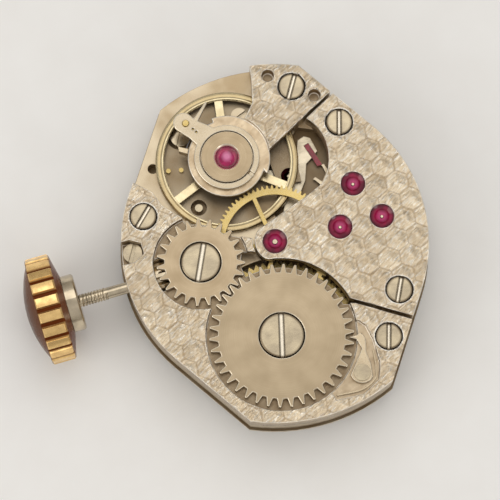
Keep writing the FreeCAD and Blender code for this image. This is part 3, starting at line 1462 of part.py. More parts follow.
def keyless_work():
    low, top = d.lever_low, d.lever_low + d.lever_thick
    lever = new_body("setting_lever", (*lever_pivot, 0))
    pad(lever, low, top, [
        (-0.33, 0.1), (-0.28, -0.2), (0.08, -0.65), (0.2, -1.33), (0.5, -1.33), (0.45, -0.6), (0.6, -0.2),
        (1.45, 0.0), (1.6, 0.22), (1.45, 0.36), (0.4, 0.28), (0.1, 0.34), (-0.2, 0.28),
    ])
    pocket(lever, low, top, (0, 0, 0.22))
    pad(lever, top, 1.44, (0.35, -1.2, 0.1))
    node(lever)
    yoke = new_body("yoke", (*yoke_pivot, 0))
    pad(yoke, low, top, [
        (0.35, 0.05), (0.2, 0.32), (-0.2, 0.32), (-0.85, 0.2), (-0.88, -0.12), (-0.5, -0.4),
        (-0.55, -1.1), (-0.4, -1.95), (-0.2, -1.95), (-0.2, -1.1), (0.05, -0.35), (0.3, -0.2),
    ])
    pocket(yoke, low, top, (0, 0, 0.17))
    node(yoke)
    post = doc.getObject("main_plate")
    pad(post, d.cover_low + d.cover_thick, d.keyless_recess_top, (*yoke_pivot, 0.15))
    spring = new_body("yoke_spring")
    pad(spring, low, low + 0.14, beside_pinion([
        (2.11, 1.16), (2.17, 1.5), (1.85, 1.56), (1.61, 1.42), (1.35, 1.16), (1.36, 1.04),
        (1.63, 1.22), (1.69, 1.1),
    ]))
    pocket(spring, low, low + 0.14, (*keyless_screws[1], 0.15))
    node(spring)
    cover = new_body("setting_lever_spring")
    pad(cover, d.cover_low, d.cover_low + d.cover_thick, beside_pinion([
        (-0.5, 2.3), (0.35, 3.0), (1.7, 2.8), (2.23, 2.15), (2.23, 1.1), (2.05, 0.92), (1.6, 1.05),
        (1.5, 1.45), (0.65, 1.45), (0.2, 1.75), (-0.75, 0.95), (-0.9, 0.6), (-1.05, 0.68), (-0.95, 1.1),
        (-0.15, 1.85), (-0.5, 2.05),
    ]))
    pocket(cover, d.cover_low, d.cover_low + d.cover_thick, *[(x, y, 0.15) for x, y in keyless_screws])
    node(cover)


def build():
    main_plate()
    barrel_bridge()
    train_bridge()
    balance_cock()
    pallet_bridge()
    screws()
    jewels()
    going_train()
    barrel_parts()
    winding_wheels()
    click_work()
    stem_parts()
    pallets()
    balance_parts()
    regulator_parts()
    motion_work()
    keyless_work()


def check_document():
    for item in doc.Objects:
        if {"Invalid", "Error"} & set(item.State):
            raise RuntimeError(f"{item.Label} failed: {item.State}")
    for item in nodes:
        if item.Shape.isNull() or not item.Shape.isValid() or not item.Shape.Solids:
            raise RuntimeError(f"{item.Label} has no valid solid")


build()
doc.recompute()
check_document()
os.makedirs("parts", exist_ok=True)
for item in nodes:
    item.Shape.exportStep(os.path.join("parts", item.Label + ".step"))
print(len(nodes), "pieces written")
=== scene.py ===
import math

import bpy
import bmesh
from mathutils import Matrix, Vector


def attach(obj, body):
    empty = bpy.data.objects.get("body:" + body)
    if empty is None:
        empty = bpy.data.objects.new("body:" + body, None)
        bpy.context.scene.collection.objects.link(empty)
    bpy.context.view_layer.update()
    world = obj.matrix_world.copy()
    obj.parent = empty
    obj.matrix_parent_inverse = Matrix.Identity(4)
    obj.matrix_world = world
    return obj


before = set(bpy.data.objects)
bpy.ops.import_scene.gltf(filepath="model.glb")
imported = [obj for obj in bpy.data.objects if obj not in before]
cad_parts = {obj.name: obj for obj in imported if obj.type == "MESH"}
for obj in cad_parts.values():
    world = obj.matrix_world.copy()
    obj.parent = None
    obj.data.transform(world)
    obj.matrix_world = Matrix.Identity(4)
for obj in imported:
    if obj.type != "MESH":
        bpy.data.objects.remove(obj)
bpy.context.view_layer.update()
mm = 0.001
print("stage: frame loaded,", len(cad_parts), "pieces")


# Colour and node helpers

def linear(hexColour):
    channels = [int(hexColour[i:i + 2], 16) / 255 for i in (1, 3, 5)]
    return [c / 12.92 if c <= 0.04045 else ((c + 0.055) / 1.055) ** 2.4 for c in channels] + [1.0]


def addNode(tree, kind, *values, named=None, out=None, **settings):
    # values go to the inputs in use, in their order, or by name: a number, a hex colour or another node's output
    node = tree.nodes.new(tree.bl_idname.replace("Tree", "") + kind)
    for name, value in settings.items():
        setattr(node, name, value)
    pairs = list(zip([socket for socket in node.inputs if socket.enabled], values))
    pairs += [(node.inputs[name], value) for name, value in (named or {}).items()]
    for socket, value in pairs:
        if isinstance(value, bpy.types.NodeSocket):
            tree.links.new(value, socket)
        else:
            socket.default_value = linear(value) if isinstance(value, str) else value
    return node.outputs[out] if out else [socket for socket in node.outputs if socket.enabled][0]


def newMaterial(name, colour, metallic, roughness, **sockets):
    material = bpy.data.materials.new(name)
    material.use_nodes = True
    shader = material.node_tree.nodes["Principled BSDF"]
    shader.inputs["Base Color"].default_value = linear(colour)
    shader.inputs["Metallic"].default_value = metallic
    shader.inputs["Roughness"].default_value = roughness
    for key, value in sockets.items():
        shader.inputs[key.replace("_", " ")].default_value = value
    return material, material.node_tree, shader


def objectPoint(tree, centre=(0, 0, 0)):
    # object coordinates in millimetres about a centre given in millimetres
    place = addNode(tree, "VectorMath", addNode(tree, "TexCoord", out="Object"), 1 / mm, operation="SCALE")
    return addNode(tree, "Mapping", place, [-c for c in centre])


def fromAxis(tree, point, across=(1, 1, 0)):
    # distance from the axis that the point is measured about
    flat = addNode(tree, "VectorMath", point, across, operation="MULTIPLY")
    return addNode(tree, "VectorMath", flat, operation="LENGTH")


def beyond(tree, point, rounds):
    # how far a point lies outside the nearest of some circles, below zero within it
    nearest = None
    for x, y, radius in rounds:
        local = addNode(tree, "VectorMath", point, (x, y, 0), operation="SUBTRACT")
        away = addNode(tree, "Math", fromAxis(tree, local), radius, operation="SUBTRACT")
        nearest = away if nearest is None else addNode(tree, "Math", nearest, away, operation="MINIMUM")
    return nearest


def facingUp(tree):
    # 1 on a face that looks straight up, 0 on a wall, -1 underneath
    return addNode(tree, "SeparateXYZ", addNode(tree, "TexCoord", out="Normal"), out="Z")


def chamferHighlight(tree, colour, highlightColour):
    # a chamfer, told by its slanting normal, is painted a lighter colour than the faces beside it, as a highlight
    up = addNode(tree, "Math", facingUp(tree), operation="ABSOLUTE")
    offWall = addNode(tree, "MapRange", up, 0.15, 0.35)
    offFlat = addNode(tree, "MapRange", up, 0.9, 0.97, 0.9, 0.0)
    slant = addNode(tree, "Math", offWall, offFlat, operation="MULTIPLY")
    return addNode(tree, "Mix", slant, colour, highlightColour, data_type="RGBA")


def addBump(tree, shader, height, strength, depth, edge=0.0):
    # depth is the height of a full step, in millimetres; edge rounds the corners by that many millimetres
    relief = {"Strength": strength, "Distance": depth * mm, "Height": height}
    if edge:
        relief["Normal"] = addNode(tree, "Bevel", edge * mm, samples=4)
    tree.links.new(addNode(tree, "Bump", named=relief), shader.inputs["Normal"])


# Finishes

axes = {"balance": (-1.13, 4.73), "barrel": (-0.98, -4.60), "crownWheel": (-3.81, 0.0), "centre": (0, 0),
        "third": (3.30, -0.19), "fourth": (5.44, -0.24), "escape": (4.52, 1.72)}
# x, y and radius of each slotted head, and the levels between which its slot ends
slots = {"heads": [(-5.92, 2.98, 0.65), (4.06, -6.09, 0.65), (4.74, 4.91, 0.65), (5.22, -4.01, 0.65),
                   (2.97, 7.31, 0.65), (-0.98, -4.6, 1.1), (-3.81, 0.0, 0.98)],
         "floor": 2.84, "wall": 2.88}
honeycomb = {"pitch": 1.08, "turn": -6, "edge": 0.075, "brushTurn": 29, "pillow": 0.16, "stroke": 0.044,
             "top": 2.9, "floor": 2.45}


def hexCells(tree, point, pitch, turnDegrees):
    # distance to the nearest cell edge, from 0 at an edge to 0.5 at the centre, and a point that names the cell
    turn = (0, 0, math.radians(-turnDegrees))
    turned = addNode(tree, "Mapping", point, (0, 0, 0), turn, (1 / pitch, 1 / pitch, 0))
    rise = math.sqrt(3) / 2
    shifted = addNode(tree, "VectorMath", turned, (0.5, rise, 0), operation="SUBTRACT")
    cells, sizes = [], []
    for source in (turned, shifted):
        wrapped = addNode(tree, "VectorMath", source, (0.5, rise, 0.5), (-0.5, -rise, -0.5), operation="WRAP")
        cells.append(wrapped)
        sizes.append(addNode(tree, "VectorMath", wrapped, wrapped, operation="DOT_PRODUCT"))
    nearer = addNode(tree, "Math", sizes[1], sizes[0], operation="LESS_THAN")
    local = addNode(tree, "Mix", nearer, cells[0], cells[1], data_type="VECTOR")
    folded = addNode(tree, "VectorMath", local, operation="ABSOLUTE")
    slanted = addNode(tree, "VectorMath", folded, (0.5, rise, 0), operation="DOT_PRODUCT")
    straight = addNode(tree, "SeparateXYZ", folded, out="X")
    fromCentre = addNode(tree, "Math", slanted, straight, operation="MAXIMUM")
    distance = addNode(tree, "Math", 0.5, fromCentre, operation="SUBTRACT")
    # the cell's centre, snapped, so that all its points give the same name
    middle = addNode(tree, "VectorMath", turned, local, operation="SUBTRACT")
    middle = addNode(tree, "VectorMath", middle, (0.12, 0.12, 0), operation="ADD")
    return distance, addNode(tree, "VectorMath", middle, (0.25, 0.25, 1), operation="SNAP")


def honeycombNickel(name, colour, shade, light):
    # nickel silver, milled with a honeycomb pattern: each cell is a low pillow, brushed one way
    material, tree, shader = newMaterial(name, colour, 1.0, 0.34)
    point = objectPoint(tree)
    wobble = addNode(tree, "TexNoise", point, 1.6)
    distance, cell = hexCells(tree, point, honeycomb["pitch"], honeycomb["turn"])
    uneven = addNode(tree, "MapRange", wobble, 0.3, 0.7, -0.03, 0.03)
    soft = addNode(tree, "Math", distance, uneven, operation="ADD")
    groove = addNode(tree, "MapRange", soft, 0.0, honeycomb["edge"], interpolation_type="SMOOTHSTEP")
    pillow = addNode(tree, "MapRange", soft, 0.0, 0.45, interpolation_type="SMOOTHSTEP")
    cellTone = addNode(tree, "TexWhiteNoise", cell, noise_dimensions="2D")

    # strokes of the brush: coarse and fine noise drawn out along one direction, another part of it in each cell;
    # the real ones are about 0.02 mm wide, too fine to show, so these are 0.04 and 0.11 mm wide
    along = addNode(tree, "Mapping", point, (0, 0, 0), (0, 0, math.radians(-honeycomb["brushTurn"])))
    apart = addNode(tree, "VectorMath", cell, 7.3, operation="SCALE")
    along = addNode(tree, "VectorMath", along, apart, operation="ADD")
    drawn = addNode(tree, "VectorMath", along, (2.0, 9.0, 1.0), operation="MULTIPLY")
    coarse = addNode(tree, "TexNoise", drawn, 1.0, 3.0, 0.62)
    drawn = addNode(tree, "VectorMath", along, (5.0, 26.0, 1.0), operation="MULTIPLY")
    fine = addNode(tree, "TexNoise", drawn, 1.0, 2.0, 0.6)
    coarse = addNode(tree, "MapRange", coarse, 0.36, 0.66, 0.0, 0.7)
    fine = addNode(tree, "MapRange", fine, 0.35, 0.65, 0.0, 0.3)
    stroke = addNode(tree, "Math", coarse, fine, operation="ADD")

    # the milled top, with painted highlight rings about the wells of the screws and painted shade along the grooves
    # between the cells
    well = beyond(tree, point, slots["heads"])
    milled = colour
    for amount, tint in ((addNode(tree, "MapRange", stroke, 0.45, 0.9, 0.0, 0.9), light),
                         (addNode(tree, "MapRange", stroke, 0.0, 0.32, 0.42, 0.0), shade),
                         (addNode(tree, "MapRange", cellTone, 0.0, 1.0, 0.0, 0.27), shade),
                         (addNode(tree, "MapRange", groove, 0.0, 1.0, 0.5, 0.0), shade),
                         (addNode(tree, "MapRange", well, 0.08, 0.11, 0.8, 0.0), light)):
        milled = addNode(tree, "Mix", amount, milled, tint, data_type="RGBA")

    # walls and sunk places are plain, and painted shade darkens them the deeper they lie
    height = addNode(tree, "SeparateXYZ", point, out="Z")
    onTop = addNode(tree, "MapRange", height, honeycomb["top"] - 0.04, honeycomb["top"] - 0.02)
    cloud = addNode(tree, "MapRange", wobble, 0.3, 0.7, 0.1, 0.6)
    plain = addNode(tree, "Mix", cloud, colour, shade, data_type="RGBA")
    sunk = addNode(tree, "MapRange", height, honeycomb["floor"], honeycomb["floor"] + 0.35, 1.0, 0.0)
    upward = addNode(tree, "MapRange", facingUp(tree), 0.1, 0.5, 0.3, 0.75)
    sunk = addNode(tree, "Math", sunk, upward, operation="MULTIPLY")
    plain = addNode(tree, "Mix", sunk, plain, "#4c3922", data_type="RGBA")
    body = addNode(tree, "Mix", onTop, plain, milled, data_type="RGBA")
    # chamfers painted near-white, as a highlight
    tree.links.new(chamferHighlight(tree, body, "#fffaf0"), shader.inputs["Base Color"])
    tree.links.new(addNode(tree, "MapRange", stroke, 0.2, 0.9, 0.4, 0.26), shader.inputs["Roughness"])

    pillow = addNode(tree, "Math", pillow, honeycomb["pillow"], operation="MULTIPLY")
    relief = addNode(tree, "Math", stroke, honeycomb["stroke"], pillow, operation="MULTIPLY_ADD")
    addBump(tree, shader, addNode(tree, "Math", relief, onTop, operation="MULTIPLY"), 0.8, 1.0)
    return material


def satinNickel(name, colour, shade, roughness=0.36, edge=0.03, wellTop=0.0):
    # plain nickel silver, lapped, which gives a soft sheen; for a machined well, the upward faces get painted patches
    # of dark reflection, and painted shade below the well's top. The grain of the abrasive, some 0.01 mm, is drawn at
    # 0.045 mm so that it shows
    material, tree, shader = newMaterial(name, colour, 1.0, roughness)
    point = objectPoint(tree)
    cloud = addNode(tree, "TexNoise", point, 0.8, 3.0)
    grain = addNode(tree, "TexNoise", point, 22.0, 3.0, 0.65)
    body = addNode(tree, "Mix", addNode(tree, "MapRange", cloud, 0.3, 0.7, 0.0, 0.5), colour, shade, data_type="RGBA")
    bright = addNode(tree, "MapRange", grain, 0.4, 0.75, 0.0, 0.25)
    body = addNode(tree, "Mix", bright, body, "#fff8ea", data_type="RGBA")
    if wellTop:
        level = addNode(tree, "SeparateXYZ", point, out="Z")
        upward = addNode(tree, "MapRange", facingUp(tree), 0.1, 0.5)
        # brown patches painted on the upward faces, as dark reflections
        reflectionPatches = addNode(tree, "MapRange", addNode(tree, "TexNoise", point, 0.55), 0.42, 0.6, 0.0, 0.5)
        reflectionPatches = addNode(tree, "Math", reflectionPatches, upward, operation="MULTIPLY")
        body = addNode(tree, "Mix", reflectionPatches, body, "#8a7048", data_type="RGBA")
        # painted shade, darker towards the bottom of the well
        sunk = addNode(tree, "MapRange", level, wellTop - 0.25, wellTop, 0.78, 0.0)
        sunk = addNode(tree, "Math", sunk, upward, operation="MULTIPLY")
        body = addNode(tree, "Mix", sunk, body, "#4a3822", data_type="RGBA")
    # chamfers painted near-white, as a highlight
    tree.links.new(chamferHighlight(tree, body, "#fff6e4"), shader.inputs["Base Color"])
    gloss = addNode(tree, "MapRange", grain, 0.3, 0.7, roughness - 0.05, roughness + 0.08)
    tree.links.new(gloss, shader.inputs["Roughness"])
    addBump(tree, shader, grain, 0.25, 0.012, edge)
    return material


def roundGrained(name, colour, shade, axis, roughness, pitch, strength, edge=0.0):
    # steel lapped while it turns: fine rings about the piece's own axis, their pitch drawn at twice the real one and
    # more so that they show, under a soft and nearly even sheen
    material, tree, shader = newMaterial(name, colour, 1.0, roughness)
    point = objectPoint(tree, (*axes[axis], 0))
    outward = addNode(tree, "CombineXYZ", fromAxis(tree, point))
    rings = addNode(tree, "TexNoise", outward, 1 / pitch)
    cloud = addNode(tree, "TexNoise", point, 1.1)
    body = colour
    for amount in (addNode(tree, "MapRange", rings, 0.35, 0.65, 0.0, 0.3),
                   addNode(tree, "MapRange", cloud, 0.35, 0.7, 0.0, 0.35)):
        body = addNode(tree, "Mix", amount, body, shade, data_type="RGBA")
    # chamfers painted near-white, as a highlight
    tree.links.new(chamferHighlight(tree, body, "#fff4de"), shader.inputs["Base Color"])
    gloss = addNode(tree, "MapRange", cloud, 0.3, 0.7, roughness - 0.04, roughness + 0.06)
    tree.links.new(gloss, shader.inputs["Roughness"])
    addBump(tree, shader, rings, strength, 0.01, edge)
    return material


def polished(name, colour, roughness, edge=0.02, shadow=""):
    # hardened steel, polished, which mirrors its surroundings softly through faint handling marks of 0.1 to 0.3 mm;
    # a slotted head has a colour for its shadows
    material, tree, shader = newMaterial(name, colour, 1.0, roughness)
    point = objectPoint(tree)
    drawn = addNode(tree, "Mapping", point, (0, 0, 0), (0.3, 0.2, 0.6), (3, 14, 6))
    marks = addNode(tree, "TexNoise", drawn, 1.0, 4.0, 0.6)
    cloud = addNode(tree, "MapRange", addNode(tree, "TexNoise", point, 1.3), 0.38, 0.62, 0.0, 0.5)
    body = addNode(tree, "Mix", cloud, colour, "#8b8070", data_type="RGBA")
    if shadow:
        # the slot's floor catches the light, its walls and the head's outer edge lie in shadow
        level = addNode(tree, "SeparateXYZ", point, out="Z")
        floor = addNode(tree, "MapRange", level, slots["floor"], slots["wall"], 0.45, 0.0)
        body = addNode(tree, "Mix", floor, body, "#fff8ea", data_type="RGBA")
        wall = addNode(tree, "MapRange", facingUp(tree), 0.2, 0.6, 0.75, 0.0)
        body = addNode(tree, "Mix", wall, body, shadow, data_type="RGBA")
        rim = beyond(tree, point, slots["heads"])
        ring = addNode(tree, "MapRange", rim, -0.13, -0.07, 0.0, 0.7)
        ring = addNode(tree, "Math", ring, addNode(tree, "MapRange", rim, 0.02, 0.05, 1.0, 0.0), operation="MULTIPLY")
        patches = addNode(tree, "MapRange", addNode(tree, "TexNoise", point, 0.9, 1.0), 0.35, 0.6, 0.45, 1.0)
        ring = addNode(tree, "Math", ring, patches, operation="MULTIPLY")
        body = addNode(tree, "Mix", ring, body, shadow, data_type="RGBA")
    tree.links.new(body, shader.inputs["Base Color"])
    gloss = addNode(tree, "MapRange", marks, 0.35, 0.7, roughness, roughness + 0.1)
    tree.links.new(gloss, shader.inputs["Roughness"])
    addBump(tree, shader, marks, 0.08, 0.008, edge)
    return material


def grooved(name, colour, shade, axis, inner, outer, roughness):
    # a polished rim, turned with a shallow channel between two bright lands; the channel is painted darker, as shade
    material, tree, shader = newMaterial(name, colour, 1.0, roughness)
    point = objectPoint(tree, (*axes[axis], 0))
    middle, reach = (inner + outer) / 2, (outer - inner) / 2
    away = addNode(tree, "Math", fromAxis(tree, point), middle, operation="SUBTRACT")
    away = addNode(tree, "Math", away, operation="ABSOLUTE")
    channel = addNode(tree, "MapRange", away, reach * 0.25, reach * 0.75, interpolation_type="SMOOTHSTEP")
    cloud = addNode(tree, "TexNoise", point, 2.0, 3.0)
    # painted shade in the channel, then a random cloudy tone
    body = colour
    for amount in (addNode(tree, "MapRange", channel, 0.0, 1.0, 0.7, 0.0),
                   addNode(tree, "MapRange", cloud, 0.35, 0.7, 0.0, 0.4)):
        body = addNode(tree, "Mix", amount, body, shade, data_type="RGBA")
    tree.links.new(body, shader.inputs["Base Color"])
    gloss = addNode(tree, "MapRange", cloud, 0.3, 0.7, roughness - 0.04, roughness + 0.06)
    tree.links.new(gloss, shader.inputs["Roughness"])
    addBump(tree, shader, channel, 0.6, 0.05, 0.04)
    return material


def rubyStone(name, colour, deep, glow, centres=(), reach=0.6, sink=0.2):
    # flame-grown ruby, polished: painted shade at the rim, painted light in the middle where light would come back
    # through it; the oil sink or, with a negative sink, the dome takes the lamps' glint
    material, tree, shader = newMaterial(name, colour, 0.0, 0.07, IOR=1.76, Specular_IOR_Level=0.3)
    point = objectPoint(tree)
    cloud = addNode(tree, "MapRange", addNode(tree, "TexNoise", point, 2.4), 0.35, 0.65, 0.0, 0.7)
    body = addNode(tree, "Mix", cloud, colour, deep, data_type="RGBA")
    dome, depth = addNode(tree, "TexNoise", point, 5.0), 0.01
    if centres:
        nearest = beyond(tree, point, [(*axes[name], 0) for name in centres])
        # painted shade on the rim of each stone
        rim = addNode(tree, "MapRange", nearest, reach * 0.72, reach * 0.98, 0.0, 0.85)
        body = addNode(tree, "Mix", rim, body, deep, data_type="RGBA")
        # painted light in the middle of each stone
        middle = addNode(tree, "MapRange", nearest, reach * 0.2, reach * 0.55, 0.8, 0.0)
        body = addNode(tree, "Mix", middle, body, glow, data_type="RGBA")
        share = addNode(tree, "Math", nearest, reach, operation="DIVIDE")
        dome, depth = addNode(tree, "Math", share, share, operation="MULTIPLY"), sink
    tree.links.new(body, shader.inputs["Base Color"])
    addBump(tree, shader, dome, 1.0, depth)
    return material


crownLook = {"level": 1.5, "gapRadius": 2.56, "fluteRadius": 2.66, "domeFront": -12.19, "domeBack": -12.15}


def crownGold(name, gold, dark, dome, darkReflection):
    # gold plate: bright on top of the flutes, painted red-brown shade in the gaps and a painted dark reflection on
    # the dome
    material, tree, shader = newMaterial(name, gold, 1.0, 0.18, Specular_IOR_Level=0.04)
    point = objectPoint(tree, (0, 0, crownLook["level"]))
    radius = fromAxis(tree, point, (0, 1, 1))
    reach = addNode(tree, "SeparateXYZ", point, out="X")
    wear = addNode(tree, "TexNoise", point, 3.0, 3.0)
    # painted red-brown shade in the gaps between the flutes and on the back cone
    gap = addNode(tree, "MapRange", radius, crownLook["gapRadius"], crownLook["fluteRadius"], 1.0, 0.0)
    onDome = addNode(tree, "MapRange", reach, crownLook["domeFront"], crownLook["domeBack"], 1.0, 0.0)
    # a painted dark reflection on the front dome, darkest towards the middle
    domeReflection = addNode(tree, "MapRange", radius, 0.6, 2.4)
    domeReflection = addNode(tree, "Mix", domeReflection, darkReflection, dome, data_type="RGBA")
    body = addNode(tree, "Mix", gap, gold, dark, data_type="RGBA")
    body = addNode(tree, "Mix", onDome, body, domeReflection, data_type="RGBA")
    worn = addNode(tree, "MapRange", wear, 0.35, 0.75, 0.0, 0.3)
    body = addNode(tree, "Mix", worn, body, dark, data_type="RGBA")
    tree.links.new(body, shader.inputs["Base Color"])
    dull = addNode(tree, "Math", gap, onDome, operation="MAXIMUM")
    tree.links.new(addNode(tree, "Math", 1.0, dull, operation="SUBTRACT"), shader.inputs["Metallic"])
    tree.links.new(addNode(tree, "MapRange", wear, 0.3, 0.7, 0.16, 0.3), shader.inputs["Roughness"])
    addBump(tree, shader, wear, 0.1, 0.01, 0.03)
    return material


finish = {
    "bridge": honeycombNickel("honeycombNickelSilver", "#ecdabd", "#957a58", "#fffcf4"),
    "plate": satinNickel("lappedNickelSilver", "#cfc0a5", "#a18b6d", wellTop=1.3),
    # the pallet bridge's nickel silver is painted dark brown, as the shade deep in the balance well
    "pallet": satinNickel("shadedNickelBridge", "#8d7a5e", "#574630", 0.4),
    "regulator": satinNickel("satinNickelRegulator", "#bbad94", "#a18f74", 0.3, edge=0.0),
    "click": satinNickel("satinSteelClick", "#c6b598", "#a18d70", 0.3, edge=0.04),
    "ratchet": roundGrained("lappedSteelRatchet", "#b3a288", "#a08e72", "barrel", 0.34, pitch=0.05, strength=0.06),
    "crownWheel": roundGrained("snailedSteelCrownWheel", "#b8a68b", "#9c8768", "crownWheel", 0.34,
                               pitch=0.05, strength=0.06),
    "screw": polished("polishedSteelScrew", "#b7aa91", 0.2, edge=0.0, shadow="#4d3a22"),
    "smallScrew": polished("polishedSmallScrew", "#b7aa91", 0.2),
    "steel": polished("polishedSteel", "#d2c4ab", 0.16),
    "pallets": polished("bluntSteelFork", "#cfc4ae", 0.26, edge=0.03),
    "spring": polished("blueGreySpringSteel", "#6f7076", 0.32),
    "rim": grooved("polishedNickelRim", "#d9cba8", "#a8946c", "balance", inner=3.2, outer=3.58, roughness=0.22),
    "gilt": satinNickel("giltBrass", "#c4ab66", "#8b743c", 0.28, edge=0.012),
    "ruby": rubyStone("syntheticRuby", "#b80f38", "#7a0a22", "#d8427e"),
    "trainRuby": rubyStone("sunkRuby", "#a30d46", "#3c0518", "#e2659c", ["centre", "third", "fourth", "escape"]),
    "capRuby": rubyStone("endStoneRuby", "#bb2465", "#6b0e38", "#e27fb0", ["balance"], reach=0.55, sink=-0.16),
    "gold": crownGold("platedGold", "#ffd894", "#6b3413", "#6a432b", "#4b2d1b"),
    "cap": roundGrained("polishedCapSetting", "#ab9a80", "#8f7c60", "balance", 0.26, pitch=0.09, strength=0.06,
                        edge=0.05),
}
nodeFinish = {
    "main_plate": "plate", "barrel_bridge": "bridge", "train_bridge": "bridge", "balance_cock": "bridge",
    "pallet_bridge": "pallet", "lower_cap_plate": "plate", "setting_lever_spring": "steel",
    "barrel_bridge_screws": "screw", "train_bridge_screws": "screw", "balance_cock_screw": "screw",
    "pallet_bridge_screw": "smallScrew", "keyless_screws": "smallScrew", "setting_lever_screw": "smallScrew",
    "upper_jewels": "trainRuby", "lower_jewels": "ruby", "balance_jewels": "capRuby", "cap_jewel_setting": "cap",
    "hairspring_stud": "click", "click_spring": "click", "click_screw": "smallScrew", "crown_wheel_screw": "screw",
    "yoke_spring": "spring", "crown": "gold", "crown_core": "steel", "winding_stem": "steel",
    "winding_pinion": "steel", "clutch_wheel": "steel", "crown_wheel": "crownWheel",
    "ratchet_wheel": "ratchet", "ratchet_screw": "screw", "barrel_arbor": "steel", "barrel_drum": "gilt",
    "barrel_cover": "gilt", "mainspring": "spring", "click": "click", "centre_wheel": "gilt",
    "centre_pinion": "steel", "cannon_pinion": "steel", "third_wheel": "gilt", "third_pinion": "steel",
    "fourth_wheel": "gilt", "fourth_pinion": "steel", "escape_wheel": "steel", "escape_pinion": "steel",
    "pallet_fork": "pallets", "pallet_stones": "ruby", "pallet_arbor": "steel", "balance_wheel": "rim",
    "balance_staff": "steel", "roller": "steel", "impulse_jewel": "ruby", "hairspring": "spring",
    "regulator": "regulator", "regulator_pins": "gilt", "setting_lever": "steel", "yoke": "steel",
    "setting_wheel": "steel", "minute_wheel": "gilt", "hour_wheel": "gilt",
}
for nodeName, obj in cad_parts.items():
    obj.data.materials.clear()
    obj.data.materials.append(finish[nodeFinish[nodeName]])
print("stage: finishes on", len(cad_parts), "pieces")


# Chamfers

# as wide as each piece's narrowest web lets them be; the main plate, the pallet bridge and the balance wheel stay
# sharp, because their webs fold over at any width
chamfers = {"train_bridge": 0.05, "barrel_bridge": 0.04, "balance_cock": 0.055, "regulator": 0.05,
            "cap_jewel_setting": 0.025, "ratchet_wheel": 0.05, "crown_wheel": 0.05,
            "barrel_bridge_screws": 0.055, "train_bridge_screws": 0.055, "balance_cock_screw": 0.055,
            "ratchet_screw": 0.055, "crown_wheel_screw": 0.055, "click": 0.04, "yoke": 0.03,
            "setting_lever": 0.02, "pallet_fork": 0.015}


def chamferNode(obj, width):
    # the frame's loose triangles are joined into flat faces, then their corners are broken
    weld = obj.modifiers.new("weld", "WELD")
    weld.merge_threshold = 0.0005 * mm
    flat = obj.modifiers.new("flat", "DECIMATE")
    flat.decimate_type = "DISSOLVE"
    flat.angle_limit = math.radians(1)
    bevel = obj.modifiers.new("chamfer", "BEVEL")
    bevel.width = width * mm
    bevel.segments = 2
    bevel.limit_method = "ANGLE"
    bevel.angle_limit = math.radians(50)
    bevel.use_clamp_overlap = False


for nodeName, width in chamfers.items():
    chamferNode(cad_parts[nodeName], width)
print("stage: chamfers")


# Small pieces beside the frame's solids

def keepMesh(name, mesh, finishName, body):
    obj = bpy.data.objects.new(name, mesh)
    bpy.context.scene.collection.objects.link(obj)
    if finishName:
        obj.data.materials.clear()
        obj.data.materials.append(finish[finishName])
    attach(obj, body)
    return obj


def circleOutline(centre, radius, count):
    steps = [2 * math.pi * step / count for step in range(count)]
    return [(centre[0] + radius * math.cos(angle), centre[1] + radius * math.sin(angle)) for angle in steps]


def halfDisc(centre, radius, slotHalf, turnDegrees, count=20):
    # one side of a slotted head
    start = math.asin(slotHalf / radius)
    turn = math.radians(turnDegrees)
    steps = [turn + start + (math.pi - 2 * start) * step / count for step in range(count + 1)]
    return [(centre[0] + radius * math.cos(angle), centre[1] + radius * math.sin(angle)) for angle in steps]


def addPrism(shape, outline, low, high):
    # a closed prism from an outline that runs counter-clockwise, in millimetres
    below = [shape.verts.new((x * mm, y * mm, low * mm)) for x, y in outline]
    above = [shape.verts.new((x * mm, y * mm, high * mm)) for x, y in outline]
    shape.faces.new(list(reversed(below)))
    shape.faces.new(above)
    for here in range(len(outline)):
        after = (here + 1) % len(outline)
        shape.faces.new((below[here], below[after], above[after], above[here]))


def addSlottedHead(shape, given):
    slotFloor = given["high"] - given["slotDepth"]
    addPrism(shape, circleOutline(given["centre"], given["radius"], 40), given["low"], slotFloor)
    for side in (0, 180):
        half = halfDisc(given["centre"], given["radius"], given["slotWidth"] / 2, given["turn"] + side)
        addPrism(shape, half, slotFloor, given["high"])


wellScrews = {
    "adjustingScrew": {"centre": (-3.0, 6.8), "radius": 0.5, "low": 0.45, "high": 0.95, "slotWidth": 0.16,
                       "slotDepth": 0.12, "turn": 62, "finish": "steel", "slot": "steel"},
    "endStoneScrew": {"centre": (0.13, 6.9), "radius": 0.44, "low": 1.15, "high": 1.36, "slotWidth": 0.12,
                      "slotDepth": 0.12, "turn": 20, "finish": "plate", "slot": "plate"},
}
wellPins = {
    "steadyPins": {"spots": [(-4.06, 5.18), (-3.43, 5.05)], "radius": 0.12, "low": 1.15, "high": 1.34,
                   "finish": "gilt", "slot": "gilt"},
    "bankingPin": {"spots": [(-3.1, 2.98)], "radius": 0.2, "low": 0.5, "high": 1.1, "finish": "smallScrew",
                   "slot": "steel"},
}


def makeWellPieces():
    # the small screws and pins that show on the floor of the balance well
    for name, given in {**wellScrews, **wellPins}.items():
        shape = bmesh.new()
        if name in wellScrews:
            addSlottedHead(shape, given)
        for spot in given.get("spots", ()):
            addPrism(shape, circleOutline(spot, given["radius"], 20), given["low"], given["high"])
        mesh = bpy.data.meshes.new(name)
        shape.to_mesh(mesh)
        shape.free()
        keepMesh(name, mesh, given["finish"], "movement")


thread = {"level": 1.5, "start": -8.7, "end": -10.06, "radius": 0.292, "pitch": 0.15, "ridge": 0.055}


